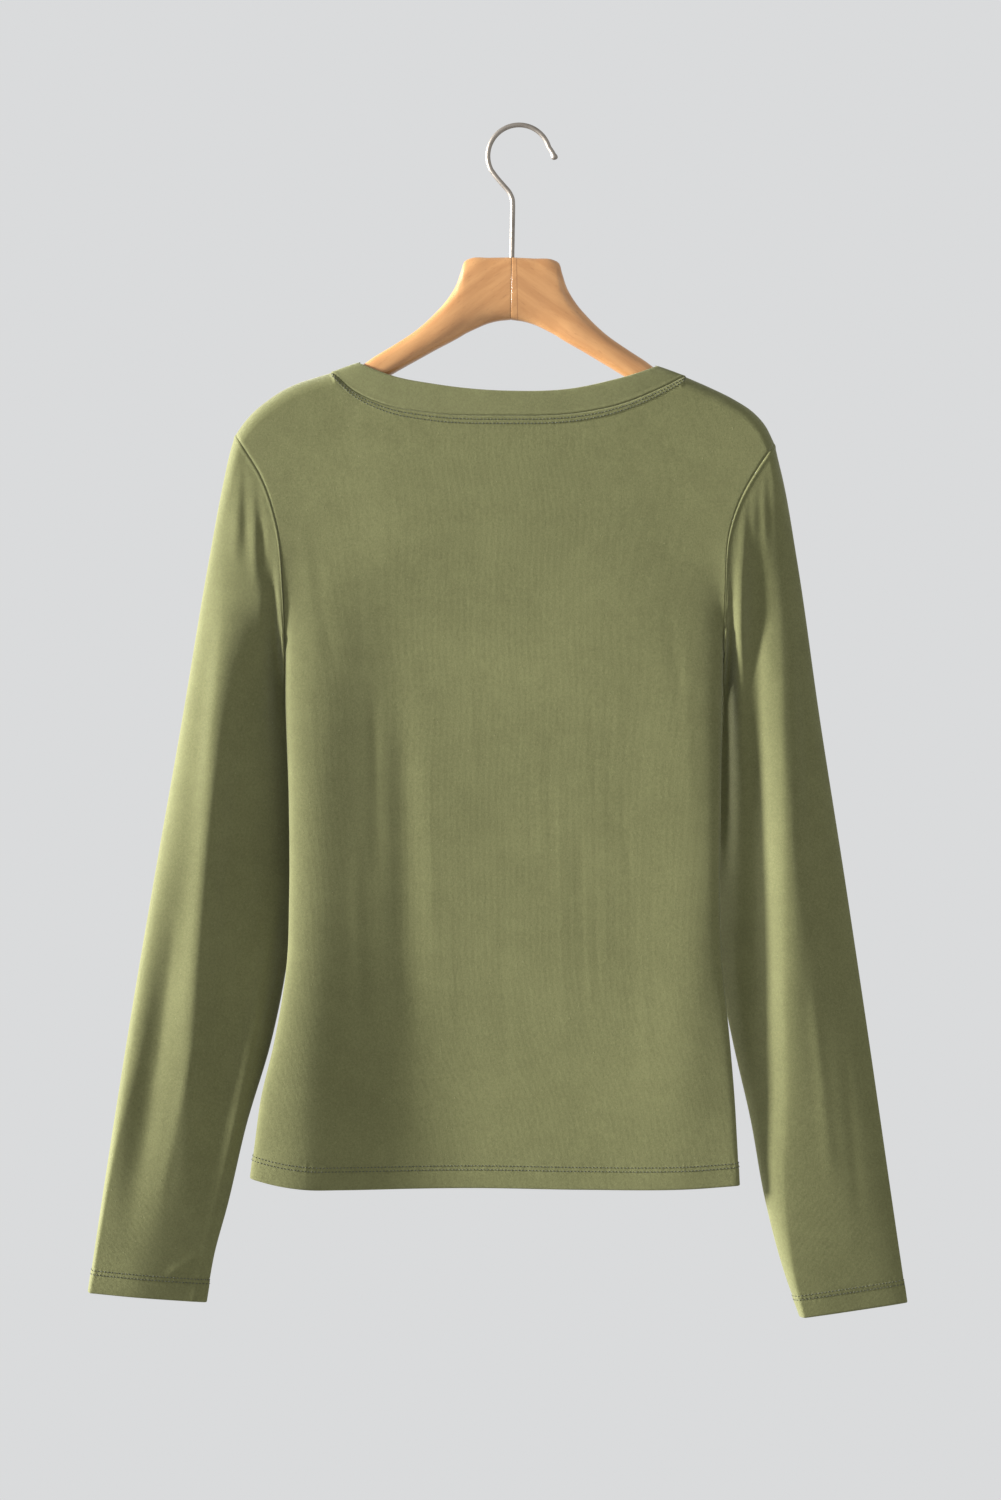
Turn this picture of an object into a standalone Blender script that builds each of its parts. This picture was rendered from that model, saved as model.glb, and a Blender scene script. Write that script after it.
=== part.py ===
"""A long-sleeve jersey top hung on a wooden hanger, with its back towards the viewer.

Frame: metres, +X to the viewer's right, -Y towards the viewer, +Z up. The origin is the inside top
of the hanger's hook, where it rests on a rail. Sizes in this file are millimetres until the meshes
are made. The back panel lies on the -Y side and the front panel on the +Y side, and they meet at
the side seams and along the shoulder ridges. Neck, hem and cuffs are open.
"""

import math
from typing import NamedTuple

import bmesh
import bpy
import numpy as np

MM = 0.001
BACK, FRONT = -1, 1
LEFT, RIGHT = -1, 1

# Cloth
WALL = 1.2
BAND_WALL = 1.8
SEAM_GAP = 0.3
# How square the body's side edges are (a round is 2, a box far more): at the armholes, and lower
# down, which they reach between the two depths
ARMHOLE_ROLL = 3.0
SIDE_ROLL = {BACK: 7.0, FRONT: 3.0}
ROLL_FROM = 385.0
ROLL_FULL = 470.0
# Place across a sleeve, from -1 at its outer edge to 1, from which it leans away behind the body:
# at the armhole, and lower down, which it reaches between the two shares of its length
CAP_LEAN_START = 0.2
LEAN_START = -0.4
LEAN_FROM = 0.03
LEAN_FULL = 0.15
RIDGE_RADIUS = 10.5
NECK_ROLL = 6.0
ARMHOLE_FULLNESS = 0.9
UNDERARM_ROUND = 0.62
UNDERARM_CLEARANCE = 1.5
# Shares of a sleeve's length in which it leaves the armhole's form: along the cap, and at the fold
CAP_SETTLE = 0.12
FOLD_SETTLE = 0.05
CORNER_NUDGE = 0.004

# Mesh steps: shoulder and neck steps across a panel, steps along its side seam
SHOULDER_STEPS = 6
SIDE_STEPS = 11
COLUMN_BUNCHING = 1.8
SIDE_SEAM_SHARE = 0.66
TINY = 1e-5

# Shares of half the neck seam from its middle. They are close where it turns over the ridge
NECK_SHARES = [0, .2, .4, .6, .76, .87, .945, .983, 1]
# Shares of the armhole from the shoulder tip to the underarm. They are close at the gathered cap
ARMHOLE_SHARES = [0, .03, .06, .09, .12, .15, .18, .21, .29, .38, .48, .59, .70, .80, .885, .95, 1]
# Shares of the sleeve from the armhole to the cuff
SLEEVE_SHARES = [0, .012, .03, .055, .085, .12, .16, .205, .255, .31, .365, .42, .475, .53, .585,
                 .64, .70, .76, .82, .88, .94, 1]

# Gathers of the sleeve cap
GATHER_PITCH = 0.06
GATHER_END = 0.22
GATHER_HEIGHT = 0.9
GATHER_REACH = 0.16

# Hanger, in its own upright frame, then tilted about the hook's seat
TILT = math.radians(1.0)
HANGER_CENTRE = -3.85
WOOD_ROUNDNESS = 2.7
WOOD_SIDES = 12
WIRE_DIAMETER = 3.5
HOOK_RADIUS = 22.4
HOOK_STEP = math.radians(7)
HOOK_TIP_ANGLE = math.radians(4)
HOOK_LOW_ANGLE = math.radians(208)
BORE_GAP = 0.3
BORE_DEPTH = 18.0


class Point(NamedTuple):
    """A point of the outline, as the viewer sees it."""

    x: float
    z: float


class Level(NamedTuple):
    """One level of the body: its two side seams and its outer half depth."""

    z: float
    left: float
    right: float


class Depth(NamedTuple):
    """Outer half depth of the body at one height."""

    z: float
    depth: float


class SleeveDepth(NamedTuple):
    """Half depth of a sleeve at a share of its length, how far its inner fold lies back, and
    how square the edges of the left and the right sleeve are there."""

    share: float
    depth: float
    lean: float
    left: float
    right: float


class Fold(NamedTuple):
    """A soft ridge (height over 0) or trough (height under 0) down one face of a piece.

    The widths are its left side's, and its right side is skew times as wide.
    """

    x_top: float
    z_top: float
    x_low: float
    z_low: float
    width_top: float
    width_low: float
    height: float
    skew: float = 1.0


class ArmStation(NamedTuple):
    """One section of the hanger's arm: upper and lower edge from its centre, and half depth."""

    top_x: float
    top_z: float
    low_x: float
    low_z: float
    depth: float


# The body
SIDE_LEVELS = [
    Level(-383.5, -168.8, 146.9),
    Level(-412.0, -168.8, 146.2),
    Level(-484.0, -166.4, 145.1),
    Level(-556.0, -166.0, 144.5),
    Level(-599.5, -167.4, 145.8),
    Level(-658.6, -176.6, 151.4),
    Level(-700.0, -186.2, 154.8),
    Level(-728.0, -190.0, 156.4),
]
BODY_DEPTHS = [
    Depth(-150.0, 10.6),
    Depth(-200.0, 10.6),
    Depth(-240.0, 11.0),
    Depth(-310.0, 13.4),
    Depth(-390.0, 16.0),
    Depth(-520.0, 17.5),
    Depth(-660.0, 18.0),
    Depth(-770.0, 17.2),
]
HEM = [Point(-193.3, -754.6), Point(-172.4, -759.4), Point(-150.8, -762.3), Point(-129.0, -763.0),
       Point(-21.0, -763.0), Point(43.6, -763.7), Point(130.0, -762.3), Point(158.0, -760.1)]

# Shoulder ridges, from the neckband out to the shoulder tip
SHOULDER = {
    LEFT: [Point(-135.5, -176.6), Point(-147.0, -180.1), Point(-160.6, -184.6),
           Point(-171.0, -189.6), Point(-181.2, -196.4), Point(-190.9, -204.3),
           Point(-198.2, -212.4), Point(-204.5, -221.3)],
    RIGHT: [Point(119.5, -179.6), Point(137.4, -187.4), Point(155.4, -196.4),
            Point(167.8, -204.6), Point(176.4, -213.8), Point(183.6, -227.7)],
}

# Armhole seams, from the shoulder tip to the underarm
ARMHOLE = {
    LEFT: [SHOULDER[LEFT][-1], Point(-197.4, -232.3), Point(-186.8, -249.6), Point(-174.9, -284.2),
           Point(-169.9, -333.0), Point(-168.8, -383.5)],
    RIGHT: [SHOULDER[RIGHT][-1], Point(168.8, -249.6), Point(159.5, -266.2), Point(150.9, -290.7),
            Point(147.6, -333.0), Point(146.9, -383.5)],
}

# Neck seams and the neckband's inner edge, from the left ridge to the right one
NECK_SEAM = {
    BACK: [SHOULDER[LEFT][0], Point(-121.3, -189.1), Point(-97.6, -200.3), Point(-65.9, -206.4),
           Point(-11.2, -208.6), Point(44.3, -206.4), Point(71.6, -200.7), Point(99.0, -189.9),
           SHOULDER[RIGHT][0]],
    FRONT: [SHOULDER[LEFT][0], Point(-128.0, -196.5), Point(-113.0, -222.0), Point(-86.0, -247.0),
            Point(-8.0, -270.0), Point(70.0, -247.0), Point(97.0, -222.0), Point(112.0, -198.5),
            SHOULDER[RIGHT][0]],
}
BAND_EDGE = {
    BACK: [Point(-115.9, -169.7), Point(-106.5, -173.9), Point(-91.0, -179.8),
           Point(-62.0, -185.6), Point(-9.0, -190.6), Point(40.0, -188.6), Point(63.0, -183.7),
           Point(84.5, -177.6), Point(99.0, -172.1)],
    FRONT: [Point(-115.9, -169.7), Point(-109.5, -187.5), Point(-96.5, -209.5),
            Point(-74.0, -231.5), Point(-8.0, -251.5), Point(58.0, -231.5), Point(80.5, -209.5),
            Point(93.5, -189.5), Point(99.0, -172.1)],
}

# Sleeves: the outer edge from the shoulder tip, and the inner fold from the underarm
SLEEVE_OUTER = {
    LEFT: [SHOULDER[LEFT][-1], Point(-207.9, -232.3), Point(-212.8, -254.0),
           Point(-223.6, -311.5), Point(-243.0, -426.8), Point(-263.2, -541.9),
           Point(-282.6, -657.1), Point(-300.6, -772.3), Point(-310.3, -837.2)],
    RIGHT: [SHOULDER[RIGHT][-1], Point(185.2, -235.0), Point(189.7, -254.0),
            Point(199.8, -311.5), Point(216.4, -426.8), Point(234.4, -541.9),
            Point(251.6, -657.1), Point(268.2, -772.3), Point(278.9, -845.3)],
}
SLEEVE_INNER = {
    LEFT: [ARMHOLE[LEFT][-1], Point(-168.6, -390.0), Point(-167.7, -397.0),
           Point(-166.3, -406.0), Point(-164.9, -420.0), Point(-163.8, -445.0),
           Point(-162.2, -485.0), Point(-162.0, -541.9),
           Point(-167.2, -599.5), Point(-178.5, -658.6), Point(-196.2, -719.1),
           Point(-209.5, -776.0), Point(-219.5, -813.4), Point(-225.0, -845.9)],
    RIGHT: [ARMHOLE[RIGHT][-1], Point(146.7, -390.0), Point(145.8, -397.0),
            Point(144.5, -406.0), Point(143.0, -420.0), Point(141.8, -445.0),
            Point(140.0, -485.0), Point(139.6, -541.9),
            Point(142.5, -599.5), Point(153.3, -658.6), Point(165.8, -714.7),
            Point(176.0, -772.3), Point(190.2, -826.0), Point(200.7, -855.4)],
}
SLEEVE_DEPTHS = [
    SleeveDepth(0.00, 11.0, 0.0, 2.3, 2.3),
    SleeveDepth(0.02, 11.2, 8.0, 2.3, 2.3),
    SleeveDepth(0.05, 11.5, 13.5, 2.2, 2.2),
    SleeveDepth(0.15, 12.0, 17.0, 1.9, 1.9),
    SleeveDepth(0.28, 12.4, 18.0, 1.8, 1.8),
    SleeveDepth(0.45, 12.4, 17.0, 2.2, 1.8),
    SleeveDepth(0.62, 11.6, 12.0, 3.4, 1.9),
    SleeveDepth(0.82, 10.0, 6.0, 4.0, 2.1),
    SleeveDepth(1.00, 8.2, 3.0, 2.8, 2.4),
]

# The main folds, on the shown side and like ones on the side towards the wall
BODY_FOLDS = {
    BACK: [
        Fold(-80, -300, -60, -800, 50, 62, -6.0, 2.2),
        Fold(133, -560, 128, -800, 12, 20, -1.8),
        Fold(-146, -500, -160, -800, 16, 22, 1.2),
    ],
    FRONT: [
        Fold(70, -380, 86, -790, 16, 40, -4.0),
        Fold(-60, -400, -84, -790, 20, 36, -2.6),
        Fold(8, -420, 4, -790, 26, 40, 1.8),
    ],
}
SLEEVE_FOLDS = {
    (LEFT, BACK): [
        Fold(-207, -290, -245, -800, 8, 12, 4.0, 1.8),
        Fold(-199, -400, -226, -800, 8, 10, -2.6),
        Fold(-166, -520, -214, -790, 7, 8, 2.6),
        Fold(-244, -480, -268, -790, 9, 9, -2.4),
    ],
    (LEFT, FRONT): [
        Fold(-202, -300, -244, -790, 9, 12, -2.8),
        Fold(-214, -330, -262, -760, 7, 9, 1.8),
    ],
    (RIGHT, BACK): [
        Fold(159, -238, 158, -470, 5, 6, 2.2),
        Fold(170, -262, 166, -720, 6, 11, -2.6),
        Fold(188, -275, 200, -800, 8, 12, 3.4, 1.8),
    ],
    (RIGHT, FRONT): [
        Fold(181, -300, 214, -790, 9, 12, -2.8),
        Fold(194, -330, 236, -760, 7, 9, 1.8),
    ],
}

ARM = [
    ArmStation(0.0, -93.8, 0.0, -138.6, 8.0),
    ArmStation(16.0, -94.3, 12.0, -140.4, 8.0),
    ArmStation(30.0, -95.1, 24.0, -145.0, 8.0),
    ArmStation(33.6, -96.9, 30.7, -148.3, 8.0),
    ArmStation(36.2, -104.0, 36.5, -151.8, 7.9),
    ArmStation(40.0, -115.0, 43.5, -155.8, 7.8),
    ArmStation(46.5, -125.7, 52.0, -160.4, 7.7),
    ArmStation(55.5, -136.0, 61.0, -165.6, 7.5),
    ArmStation(68.0, -147.5, 72.5, -172.2, 7.4),
    ArmStation(84.5, -158.8, 86.0, -180.2, 7.2),
    ArmStation(98.0, -167.3, 97.0, -187.0, 7.0),
    ArmStation(105.0, -172.3, 104.0, -191.2, 7.0),
    ArmStation(116.0, -178.0, 115.0, -197.2, 7.0),
    ArmStation(128.0, -181.8, 127.0, -203.2, 6.9),
    ArmStation(141.0, -186.5, 140.0, -208.2, 6.8),
    ArmStation(153.5, -192.3, 152.0, -212.0, 6.7),
    ArmStation(163.0, -198.2, 162.0, -214.4, 6.5),
    ArmStation(171.0, -205.2, 170.0, -215.4, 5.6),
    ArmStation(175.5, -209.6, 174.5, -213.6, 3.4),
]
# The hook's wire between its round and its stem, in the hanger's frame
HOOK_NECK = [Point(-15.6, -36.6), Point(-10.4, -42.4), Point(-6.6, -46.8), Point(-4.4, -51.4),
             Point(-3.85, -57.0)]

CLOTH_COLOUR = (0.235, 0.240, 0.118)
BAND_COLOUR = (0.250, 0.254, 0.130)
WOOD_COLOUR = (0.565, 0.275, 0.105)
METAL_COLOUR = (0.62, 0.58, 0.53)


def through(knots, values, x):
    """Value at x of the smooth curve that has these values at its knots."""
    knots = np.asarray(knots, float)
    values = np.asarray(values, float)
    slopes = np.gradient(values, knots, axis=0)
    i = int(np.clip(np.searchsorted(knots, x, side="right") - 1, 0, len(knots) - 2))
    width = knots[i + 1] - knots[i]
    t = (x - knots[i]) / width
    return (
        (2 * t**3 - 3 * t**2 + 1) * values[i]
        + (t**3 - 2 * t**2 + t) * width * slopes[i]
        + (3 * t**2 - 2 * t**3) * values[i + 1]
        + (t**3 - t**2) * width * slopes[i + 1]
    )


class Path:
    """A smooth line through a few points, read by the share of its length."""

    def __init__(self, points):
        self.points = np.array([tuple(p) for p in points], float)
        steps = np.linalg.norm(np.diff(self.points, axis=0), axis=1)
        self.shares = np.concatenate([[0.0], np.cumsum(steps)]) / steps.sum()

    def at(self, share):
        return through(self.shares, self.points, share)

    def direction(self, share):
        step = self.at(min(share + 1e-3, 1)) - self.at(max(share - 1e-3, 0))
        return step / np.linalg.norm(step)


def smoothstep(low, high, x):
    t = min(max((x - low) / (high - low), 0.0), 1.0)
    return t * t * (3 - 2 * t)


def unit(vector):
    return vector / np.linalg.norm(vector)


def column(rows, name):
    return [getattr(row, name) for row in rows]


def side_points(side):
    """The side seam from the hem up to the underarm."""
    name = "left" if side == LEFT else "right"
    corner = HEM[0] if side == LEFT else HEM[-1]
    return [corner] + [Point(getattr(level, name), level.z) for level in reversed(SIDE_LEVELS)]


HEM_PATH = Path(HEM)
SIDE_PATH = {side: Path(side_points(side)) for side in (LEFT, RIGHT)}
ARMHOLE_PATH = {side: Path(ARMHOLE[side]) for side in (LEFT, RIGHT)}
SHOULDER_PATH = {side: Path(SHOULDER[side]) for side in (LEFT, RIGHT)}
NECK_PATH = {face: Path(NECK_SEAM[face]) for face in (BACK, FRONT)}
OUTER_PATH = {side: Path(SLEEVE_OUTER[side]) for side in (LEFT, RIGHT)}
INNER_PATH = {side: Path(SLEEVE_INNER[side]) for side in (LEFT, RIGHT)}

NECK_U = 0.571
HALF_U = [NECK_U * share for share in NECK_SHARES]
HALF_U += [NECK_U + (1 - NECK_U) * k / SHOULDER_STEPS for k in range(1, SHOULDER_STEPS + 1)]
PANEL_U = np.array([-u for u in reversed(HALF_U[1:])] + HALF_U)
PANEL_V = np.array(
    [SIDE_SEAM_SHARE * k / SIDE_STEPS for k in range(SIDE_STEPS)]
    + [1 - (1 - SIDE_SEAM_SHARE) * share for share in reversed(ARMHOLE_SHARES)]
)


def fold_height(folds, x, z):
    """Height of all folds of one face at a place on it."""
    total = 0.0
    for fold in folds:
        along = (fold.z_top - z) / (fold.z_top - fold.z_low)
        if 0 < along < 1:
            middle = fold.x_top + along * (fold.x_low - fold.x_top)
            width = fold.width_top + along * (fold.width_low - fold.width_top)
            width *= fold.skew if x > middle else 1
            fade = smoothstep(0, 0.3, along)
            total += fold.height * fade * math.exp(-((x - middle) / width) ** 2)
    return total


def bunched(u):
    """Place across the body, from -1 to 1, of a column: columns are closer near the sides."""
    return math.copysign(1 - (1 - abs(u)) ** COLUMN_BUNCHING, u)


def edge_point(side, v):
    """A panel's side edge: side seam below, armhole above."""
    if v <= SIDE_SEAM_SHARE:
        return SIDE_PATH[side].at(v / SIDE_SEAM_SHARE)
    return ARMHOLE_PATH[side].at((1 - v) / (1 - SIDE_SEAM_SHARE))


def top_point(face, u):
    """A panel's top edge: shoulder ridge, neck seam, shoulder ridge."""
    if abs(u) >= NECK_U:
        side = LEFT if u < 0 else RIGHT
        return SHOULDER_PATH[side].at((abs(u) - NECK_U) / (1 - NECK_U))
    return NECK_PATH[face].at((u / NECK_U + 1) / 2)


def outline_point(face, u, v):
    """Place of a panel's point as the viewer sees it, blended from the panel's four edges."""
    across = (bunched(u) + 1) / 2
    hem = HEM_PATH.at(across)
    top = top_point(face, u)
    sides = (1 - across) * edge_point(LEFT, v) + across * edge_point(RIGHT, v)
    low = (1 - across) * HEM_PATH.at(0) + across * HEM_PATH.at(1)
    high = (1 - across) * top_point(face, -1) + across * top_point(face, 1)
    return (1 - v) * (hem - low) + v * (top - high) + sides


def armhole_fullness(v):
    """Depth at a panel's side edge as a share of the body's depth: none along the side seam."""
    if v <= SIDE_SEAM_SHARE:
        return 0.0
    up = (v - SIDE_SEAM_SHARE) / (1 - SIDE_SEAM_SHARE)
    return ARMHOLE_FULLNESS * math.sqrt(1 - (1 - min(up / UNDERARM_ROUND, 1)) ** 2)


def neck_fullness(u):
    """Depth at a panel's top edge as a share of the body's depth: none along the ridges."""
    if abs(u) >= NECK_U:
        return 0.0
    return (1 - (abs(u) / NECK_U) ** NECK_ROLL) ** (1 / NECK_ROLL)


def panel_point(face, u, v):
    """A point on the outer face of the back or front panel."""
    x, z = outline_point(face, u, v)
    depth = through([-d.z for d in BODY_DEPTHS], column(BODY_DEPTHS, "depth"), -z)
    squarer = smoothstep(ROLL_FROM, ROLL_FULL, -z)
    square = ARMHOLE_ROLL + (SIDE_ROLL[face] - ARMHOLE_ROLL) * squarer
    start = armhole_fullness(v) ** square
    lateral = (1 - (1 - start) * abs(bunched(u)) ** square) ** (1 / square)
    below = np.linalg.norm(outline_point(face, u, v) - outline_point(face, u, 1))
    begin = 1 - math.sqrt(1 - neck_fullness(u) ** 2)
    roll = begin + (1 - begin) * min(below / RIDGE_RADIUS, 1)
    upper = math.sqrt(1 - (1 - roll) ** 2)
    flat = lateral * upper
    y = SEAM_GAP / 2 + depth * flat + fold_height(BODY_FOLDS[face], x, z) * flat**2
    return np.array([x, face * y, z])


def panel_normal(face, u, v):
    """Direction into the body at a point of a panel's outer face."""
    if v == 1 and math.isclose(abs(u), NECK_U):
        u = math.copysign(NECK_U + CORNER_NUDGE, u)
    if abs(u) == 1 and math.isclose(v, SIDE_SEAM_SHARE):
        v = SIDE_SEAM_SHARE - CORNER_NUDGE
    low_u, high_u = max(u - TINY, -1), min(u + TINY, 1)
    low_v, high_v = max(v - TINY, 0), min(v + TINY, 1)
    across = panel_point(face, high_u, v) - panel_point(face, low_u, v)
    up = panel_point(face, u, high_v) - panel_point(face, u, low_v)
    return -face * unit(np.cross(up, across))


def sleeve_outline(side, share, t):
    """Place of a sleeve's point as the viewer sees it."""
    chord = (1 - share) * OUTER_PATH[side].at(t) + share * INNER_PATH[side].at(t)
    tip, underarm = ARMHOLE_PATH[side].at(0), ARMHOLE_PATH[side].at(1)
    bow = ARMHOLE_PATH[side].at(share) - ((1 - share) * tip + share * underarm)
    away = np.array([side * UNDERARM_CLEARANCE * share * smoothstep(0, 0.015, t), 0])
    return chord + bow * (1 - smoothstep(0, 0.34, t)) + away


def sleeve_point(side, face, share, t):
    """A point on the outer face of a sleeve."""
    x, z = sleeve_outline(side, share, t)
    seam = panel_point(face, side, 1 - (1 - SIDE_SEAM_SHARE) * share)[1]
    if share in (0, 1):
        seam = 0.0
    knots = column(SLEEVE_DEPTHS, "share")
    squares = "left" if side == LEFT else "right"
    depth, lean, square = (
        through(knots, column(SLEEVE_DEPTHS, name), t) for name in ("depth", "lean", squares)
    )
    place = 2 * share - 1
    round_share = max(1 - abs(place) ** square, 0) ** (1 / square)
    height = depth * round_share
    height += fold_height(SLEEVE_FOLDS[side, face], x, z) * round_share
    if share < GATHER_END:
        swell = smoothstep(0, 0.02, t) * (1 - smoothstep(0.04, GATHER_REACH, t))
        swell *= smoothstep(0, 0.05, share) * GATHER_HEIGHT
        height += swell * math.cos(2 * math.pi * share / GATHER_PITCH)
    sooner = smoothstep(LEAN_FROM, LEAN_FULL, t)
    lean_start = CAP_LEAN_START + (LEAN_START - CAP_LEAN_START) * sooner
    free = face * height + lean * smoothstep(lean_start, 1, place)
    settle = CAP_SETTLE + (FOLD_SETTLE - CAP_SETTLE) * smoothstep(0.8, 1, share)
    blend = smoothstep(0, settle, t)
    return np.array([x, (1 - blend) * seam + blend * free, z])


def grid_normals(grid):
    """Normals of a tube's grid of points, pointing to its inside."""
    along = np.gradient(grid, axis=0)
    around = np.roll(grid, -1, axis=1) - np.roll(grid, 1, axis=1)
    normals = np.cross(along, around)
    normals /= np.linalg.norm(normals, axis=2, keepdims=True)
    middle = grid.mean(axis=1, keepdims=True)
    if np.sum(normals * (middle - grid)) < 0:
        normals = -normals
    return normals


def principled(name, colour, roughness, metallic=0.0):
    material = bpy.data.materials.new(name)
    material.use_nodes = True
    shader = material.node_tree.nodes["Principled BSDF"]
    shader.inputs["Base Color"].default_value = (*colour, 1)
    shader.inputs["Roughness"].default_value = roughness
    shader.inputs["Metallic"].default_value = metallic
    return material


def finished(name, mesh, material):
    """A named object from a bmesh in millimetres, smooth but for its sharp edges."""
    bmesh.ops.scale(mesh, vec=(MM, MM, MM), verts=mesh.verts)
    bmesh.ops.recalc_face_normals(mesh, faces=mesh.faces)
    data = bpy.data.meshes.new(name)
    mesh.to_mesh(data)
    mesh.free()
    data.materials.append(material)
    data.shade_smooth()
    data.set_sharp_from_angle(angle=math.radians(50))
    made = bpy.data.objects.new(name, data)
    bpy.context.scene.collection.objects.link(made)
    return made


def rows_of_vertices(mesh, grid):
    return [[mesh.verts.new(point) for point in row] for row in grid]


def wall(name, outer, inner, ring, material):
    """A closed cloth wall between an outer and an inner grid. A ring's columns run round."""
    mesh = bmesh.new()
    skins = [rows_of_vertices(mesh, outer), rows_of_vertices(mesh, inner)]
    rows, columns = len(outer), len(outer[0])
    steps = [(c, (c + 1) % columns) for c in range(columns if ring else columns - 1)]
    for skin in skins:
        for r in range(rows - 1):
            for c, d in steps:
                mesh.faces.new((skin[r][c], skin[r][d], skin[r + 1][d], skin[r + 1][c]))
    out, into = skins
    for r in (0, rows - 1):
        for c, d in steps:
            mesh.faces.new((out[r][c], out[r][d], into[r][d], into[r][c]))
    if not ring:
        for c in (0, columns - 1):
            for r in range(rows - 1):
                mesh.faces.new((out[r][c], out[r + 1][c], into[r + 1][c], into[r][c]))
    return finished(name, mesh, material)


def closed_loft(name, rings, material):
    """A solid through rings of points, closed by a flat end at each side."""
    mesh = bmesh.new()
    rows = rows_of_vertices(mesh, rings)
    count = len(rows[0])
    for low, high in zip(rows, rows[1:]):
        for c in range(count):
            d = (c + 1) % count
            mesh.faces.new((low[c], low[d], high[d], high[c]))
    mesh.faces.new(rows[0])
    mesh.faces.new(rows[-1])
    return finished(name, mesh, material)


def panel(name, face, material):
    """The back or the front: one wall from hem to shoulders and neck seam."""
    outer, inner = [], []
    for v in PANEL_V:
        points = [panel_point(face, u, v) for u in PANEL_U]
        normals = [panel_normal(face, u, v) for u in PANEL_U]
        outer.append(points)
        inner.append([p + WALL * n for p, n in zip(points, normals)])
    return wall(name, outer, inner, False, material)


def sleeve(name, side, material):
    """A set-in sleeve: rings from the armhole to the cuff, flattened as it hangs."""
    places = [(BACK, share) for share in ARMHOLE_SHARES]
    places += [(FRONT, share) for share in reversed(ARMHOLE_SHARES[1:-1])]
    outer = np.array([
        [sleeve_point(side, face, share, t) for face, share in places] for t in SLEEVE_SHARES
    ])
    for spot, (face, share) in enumerate(places):
        run = ARMHOLE_PATH[side].direction(share)
        away = -side * np.array([run[1], 0, -run[0]])
        outer[0][spot] += SEAM_GAP * away
    normals = grid_normals(outer)
    for spot, (face, share) in enumerate(places):
        seam = panel_normal(face, side, 1 - (1 - SIDE_SEAM_SHARE) * share)
        if share == 0:
            seam = unit(seam * np.array([1, 0, 1]))
        own = smoothstep(0.55, 0.9, share)
        normals[0][spot] = unit((1 - own) * seam + own * normals[0][spot])
    return wall(name, outer, outer + WALL * normals, True, material)


def neckband(material):
    """The folded band round the neck: back and front in one ring, over both ridges."""
    edge_path = {face: Path(BAND_EDGE[face]) for face in (BACK, FRONT)}
    us = [u for u in PANEL_U if abs(u) <= NECK_U]
    places = [(BACK, u) for u in us] + [(FRONT, u) for u in us[-2:0:-1]]
    seams, edges, normals = [], [], []
    for face, u in places:
        seam = panel_point(face, u, 1)
        x, z = edge_path[face].at((u / NECK_U + 1) / 2)
        edge = np.array([x, seam[1], z])
        normal = panel_normal(face, u, 1)
        if abs(u) == NECK_U:
            seam[1] = edge[1] = 0.0
            normal = unit(normal * np.array([1, 0, 1]))
        seams.append(seam)
        edges.append(edge)
        normals.append(normal)
    seams, edges, normals = (np.array(part) for part in (seams, edges, normals))
    for spot, run in enumerate(np.roll(seams, -1, axis=0) - np.roll(seams, 1, axis=0)):
        away = unit(np.cross(run, normals[spot]))
        away *= math.copysign(1, away @ (edges[spot] - seams[spot]))
        seams[spot] += SEAM_GAP * (1 + abs(places[spot][1] / NECK_U) ** NECK_ROLL) * away
    across = (edges - seams) / np.linalg.norm(edges - seams, axis=1, keepdims=True)
    fold = across * BAND_WALL / 3
    middle = (seams + edges) / 2
    section = [seams, middle, edges - fold, edges + normals * BAND_WALL / 2,
               edges - fold + normals * BAND_WALL, middle + normals * BAND_WALL,
               seams + normals * BAND_WALL]
    mesh = bmesh.new()
    loops = rows_of_vertices(mesh, section)
    count = len(places)
    for low, high in zip(loops, loops[1:] + loops[:1]):
        for c in range(count):
            d = (c + 1) % count
            mesh.faces.new((low[c], low[d], high[d], high[c]))
    return finished("neckband", mesh, material)


def tilted(x, y, z):
    """A point of the hanger's own frame, as the hanger leans on its hook."""
    return np.array([
        x * math.cos(TILT) + z * math.sin(TILT), y, -x * math.sin(TILT) + z * math.cos(TILT)
    ])


def hanger_wood(material):
    """The wooden shoulders: rounded sections from one tip through the block to the other."""
    stations = [(-1, station) for station in reversed(ARM[1:])]
    stations += [(1, station) for station in ARM]
    rings = []
    for hand, station in stations:
        top = np.array([station.top_x, station.top_z])
        low = np.array([station.low_x, station.low_z])
        ring = []
        for k in range(WOOD_SIDES):
            angle = 2 * math.pi * (k + 0.5) / WOOD_SIDES
            power = 2 / WOOD_ROUNDNESS
            up = math.copysign(abs(math.cos(angle)) ** power, math.cos(angle))
            out = math.copysign(abs(math.sin(angle)) ** power, math.sin(angle))
            x, z = (top + low) / 2 + up * (top - low) / 2
            ring.append(tilted(HANGER_CENTRE + hand * x, out * station.depth, z))
        rings.append(ring)
    wood = closed_loft("hanger_wood", rings, material)
    cutter_mesh = bmesh.new()
    bore = WIRE_DIAMETER / 2 + BORE_GAP
    bmesh.ops.create_cone(
        cutter_mesh, cap_ends=True, segments=20, radius1=bore * MM, radius2=bore * MM,
        depth=2 * BORE_DEPTH * MM,
    )
    data = bpy.data.meshes.new("bore_cutter")
    cutter_mesh.to_mesh(data)
    cutter_mesh.free()
    cutter = bpy.data.objects.new("bore_cutter", data)
    bpy.context.scene.collection.objects.link(cutter)
    cutter.location = tilted(HANGER_CENTRE, 0, ARM[0].top_z) * MM
    cutter.rotation_euler = (0, TILT, 0)
    cutter.hide_render = True
    cutter.display_type = "WIRE"
    cut = wood.modifiers.new("bore", "BOOLEAN")
    cut.operation = "DIFFERENCE"
    cut.solver = "EXACT"
    cut.object = cutter
    return wood


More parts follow.
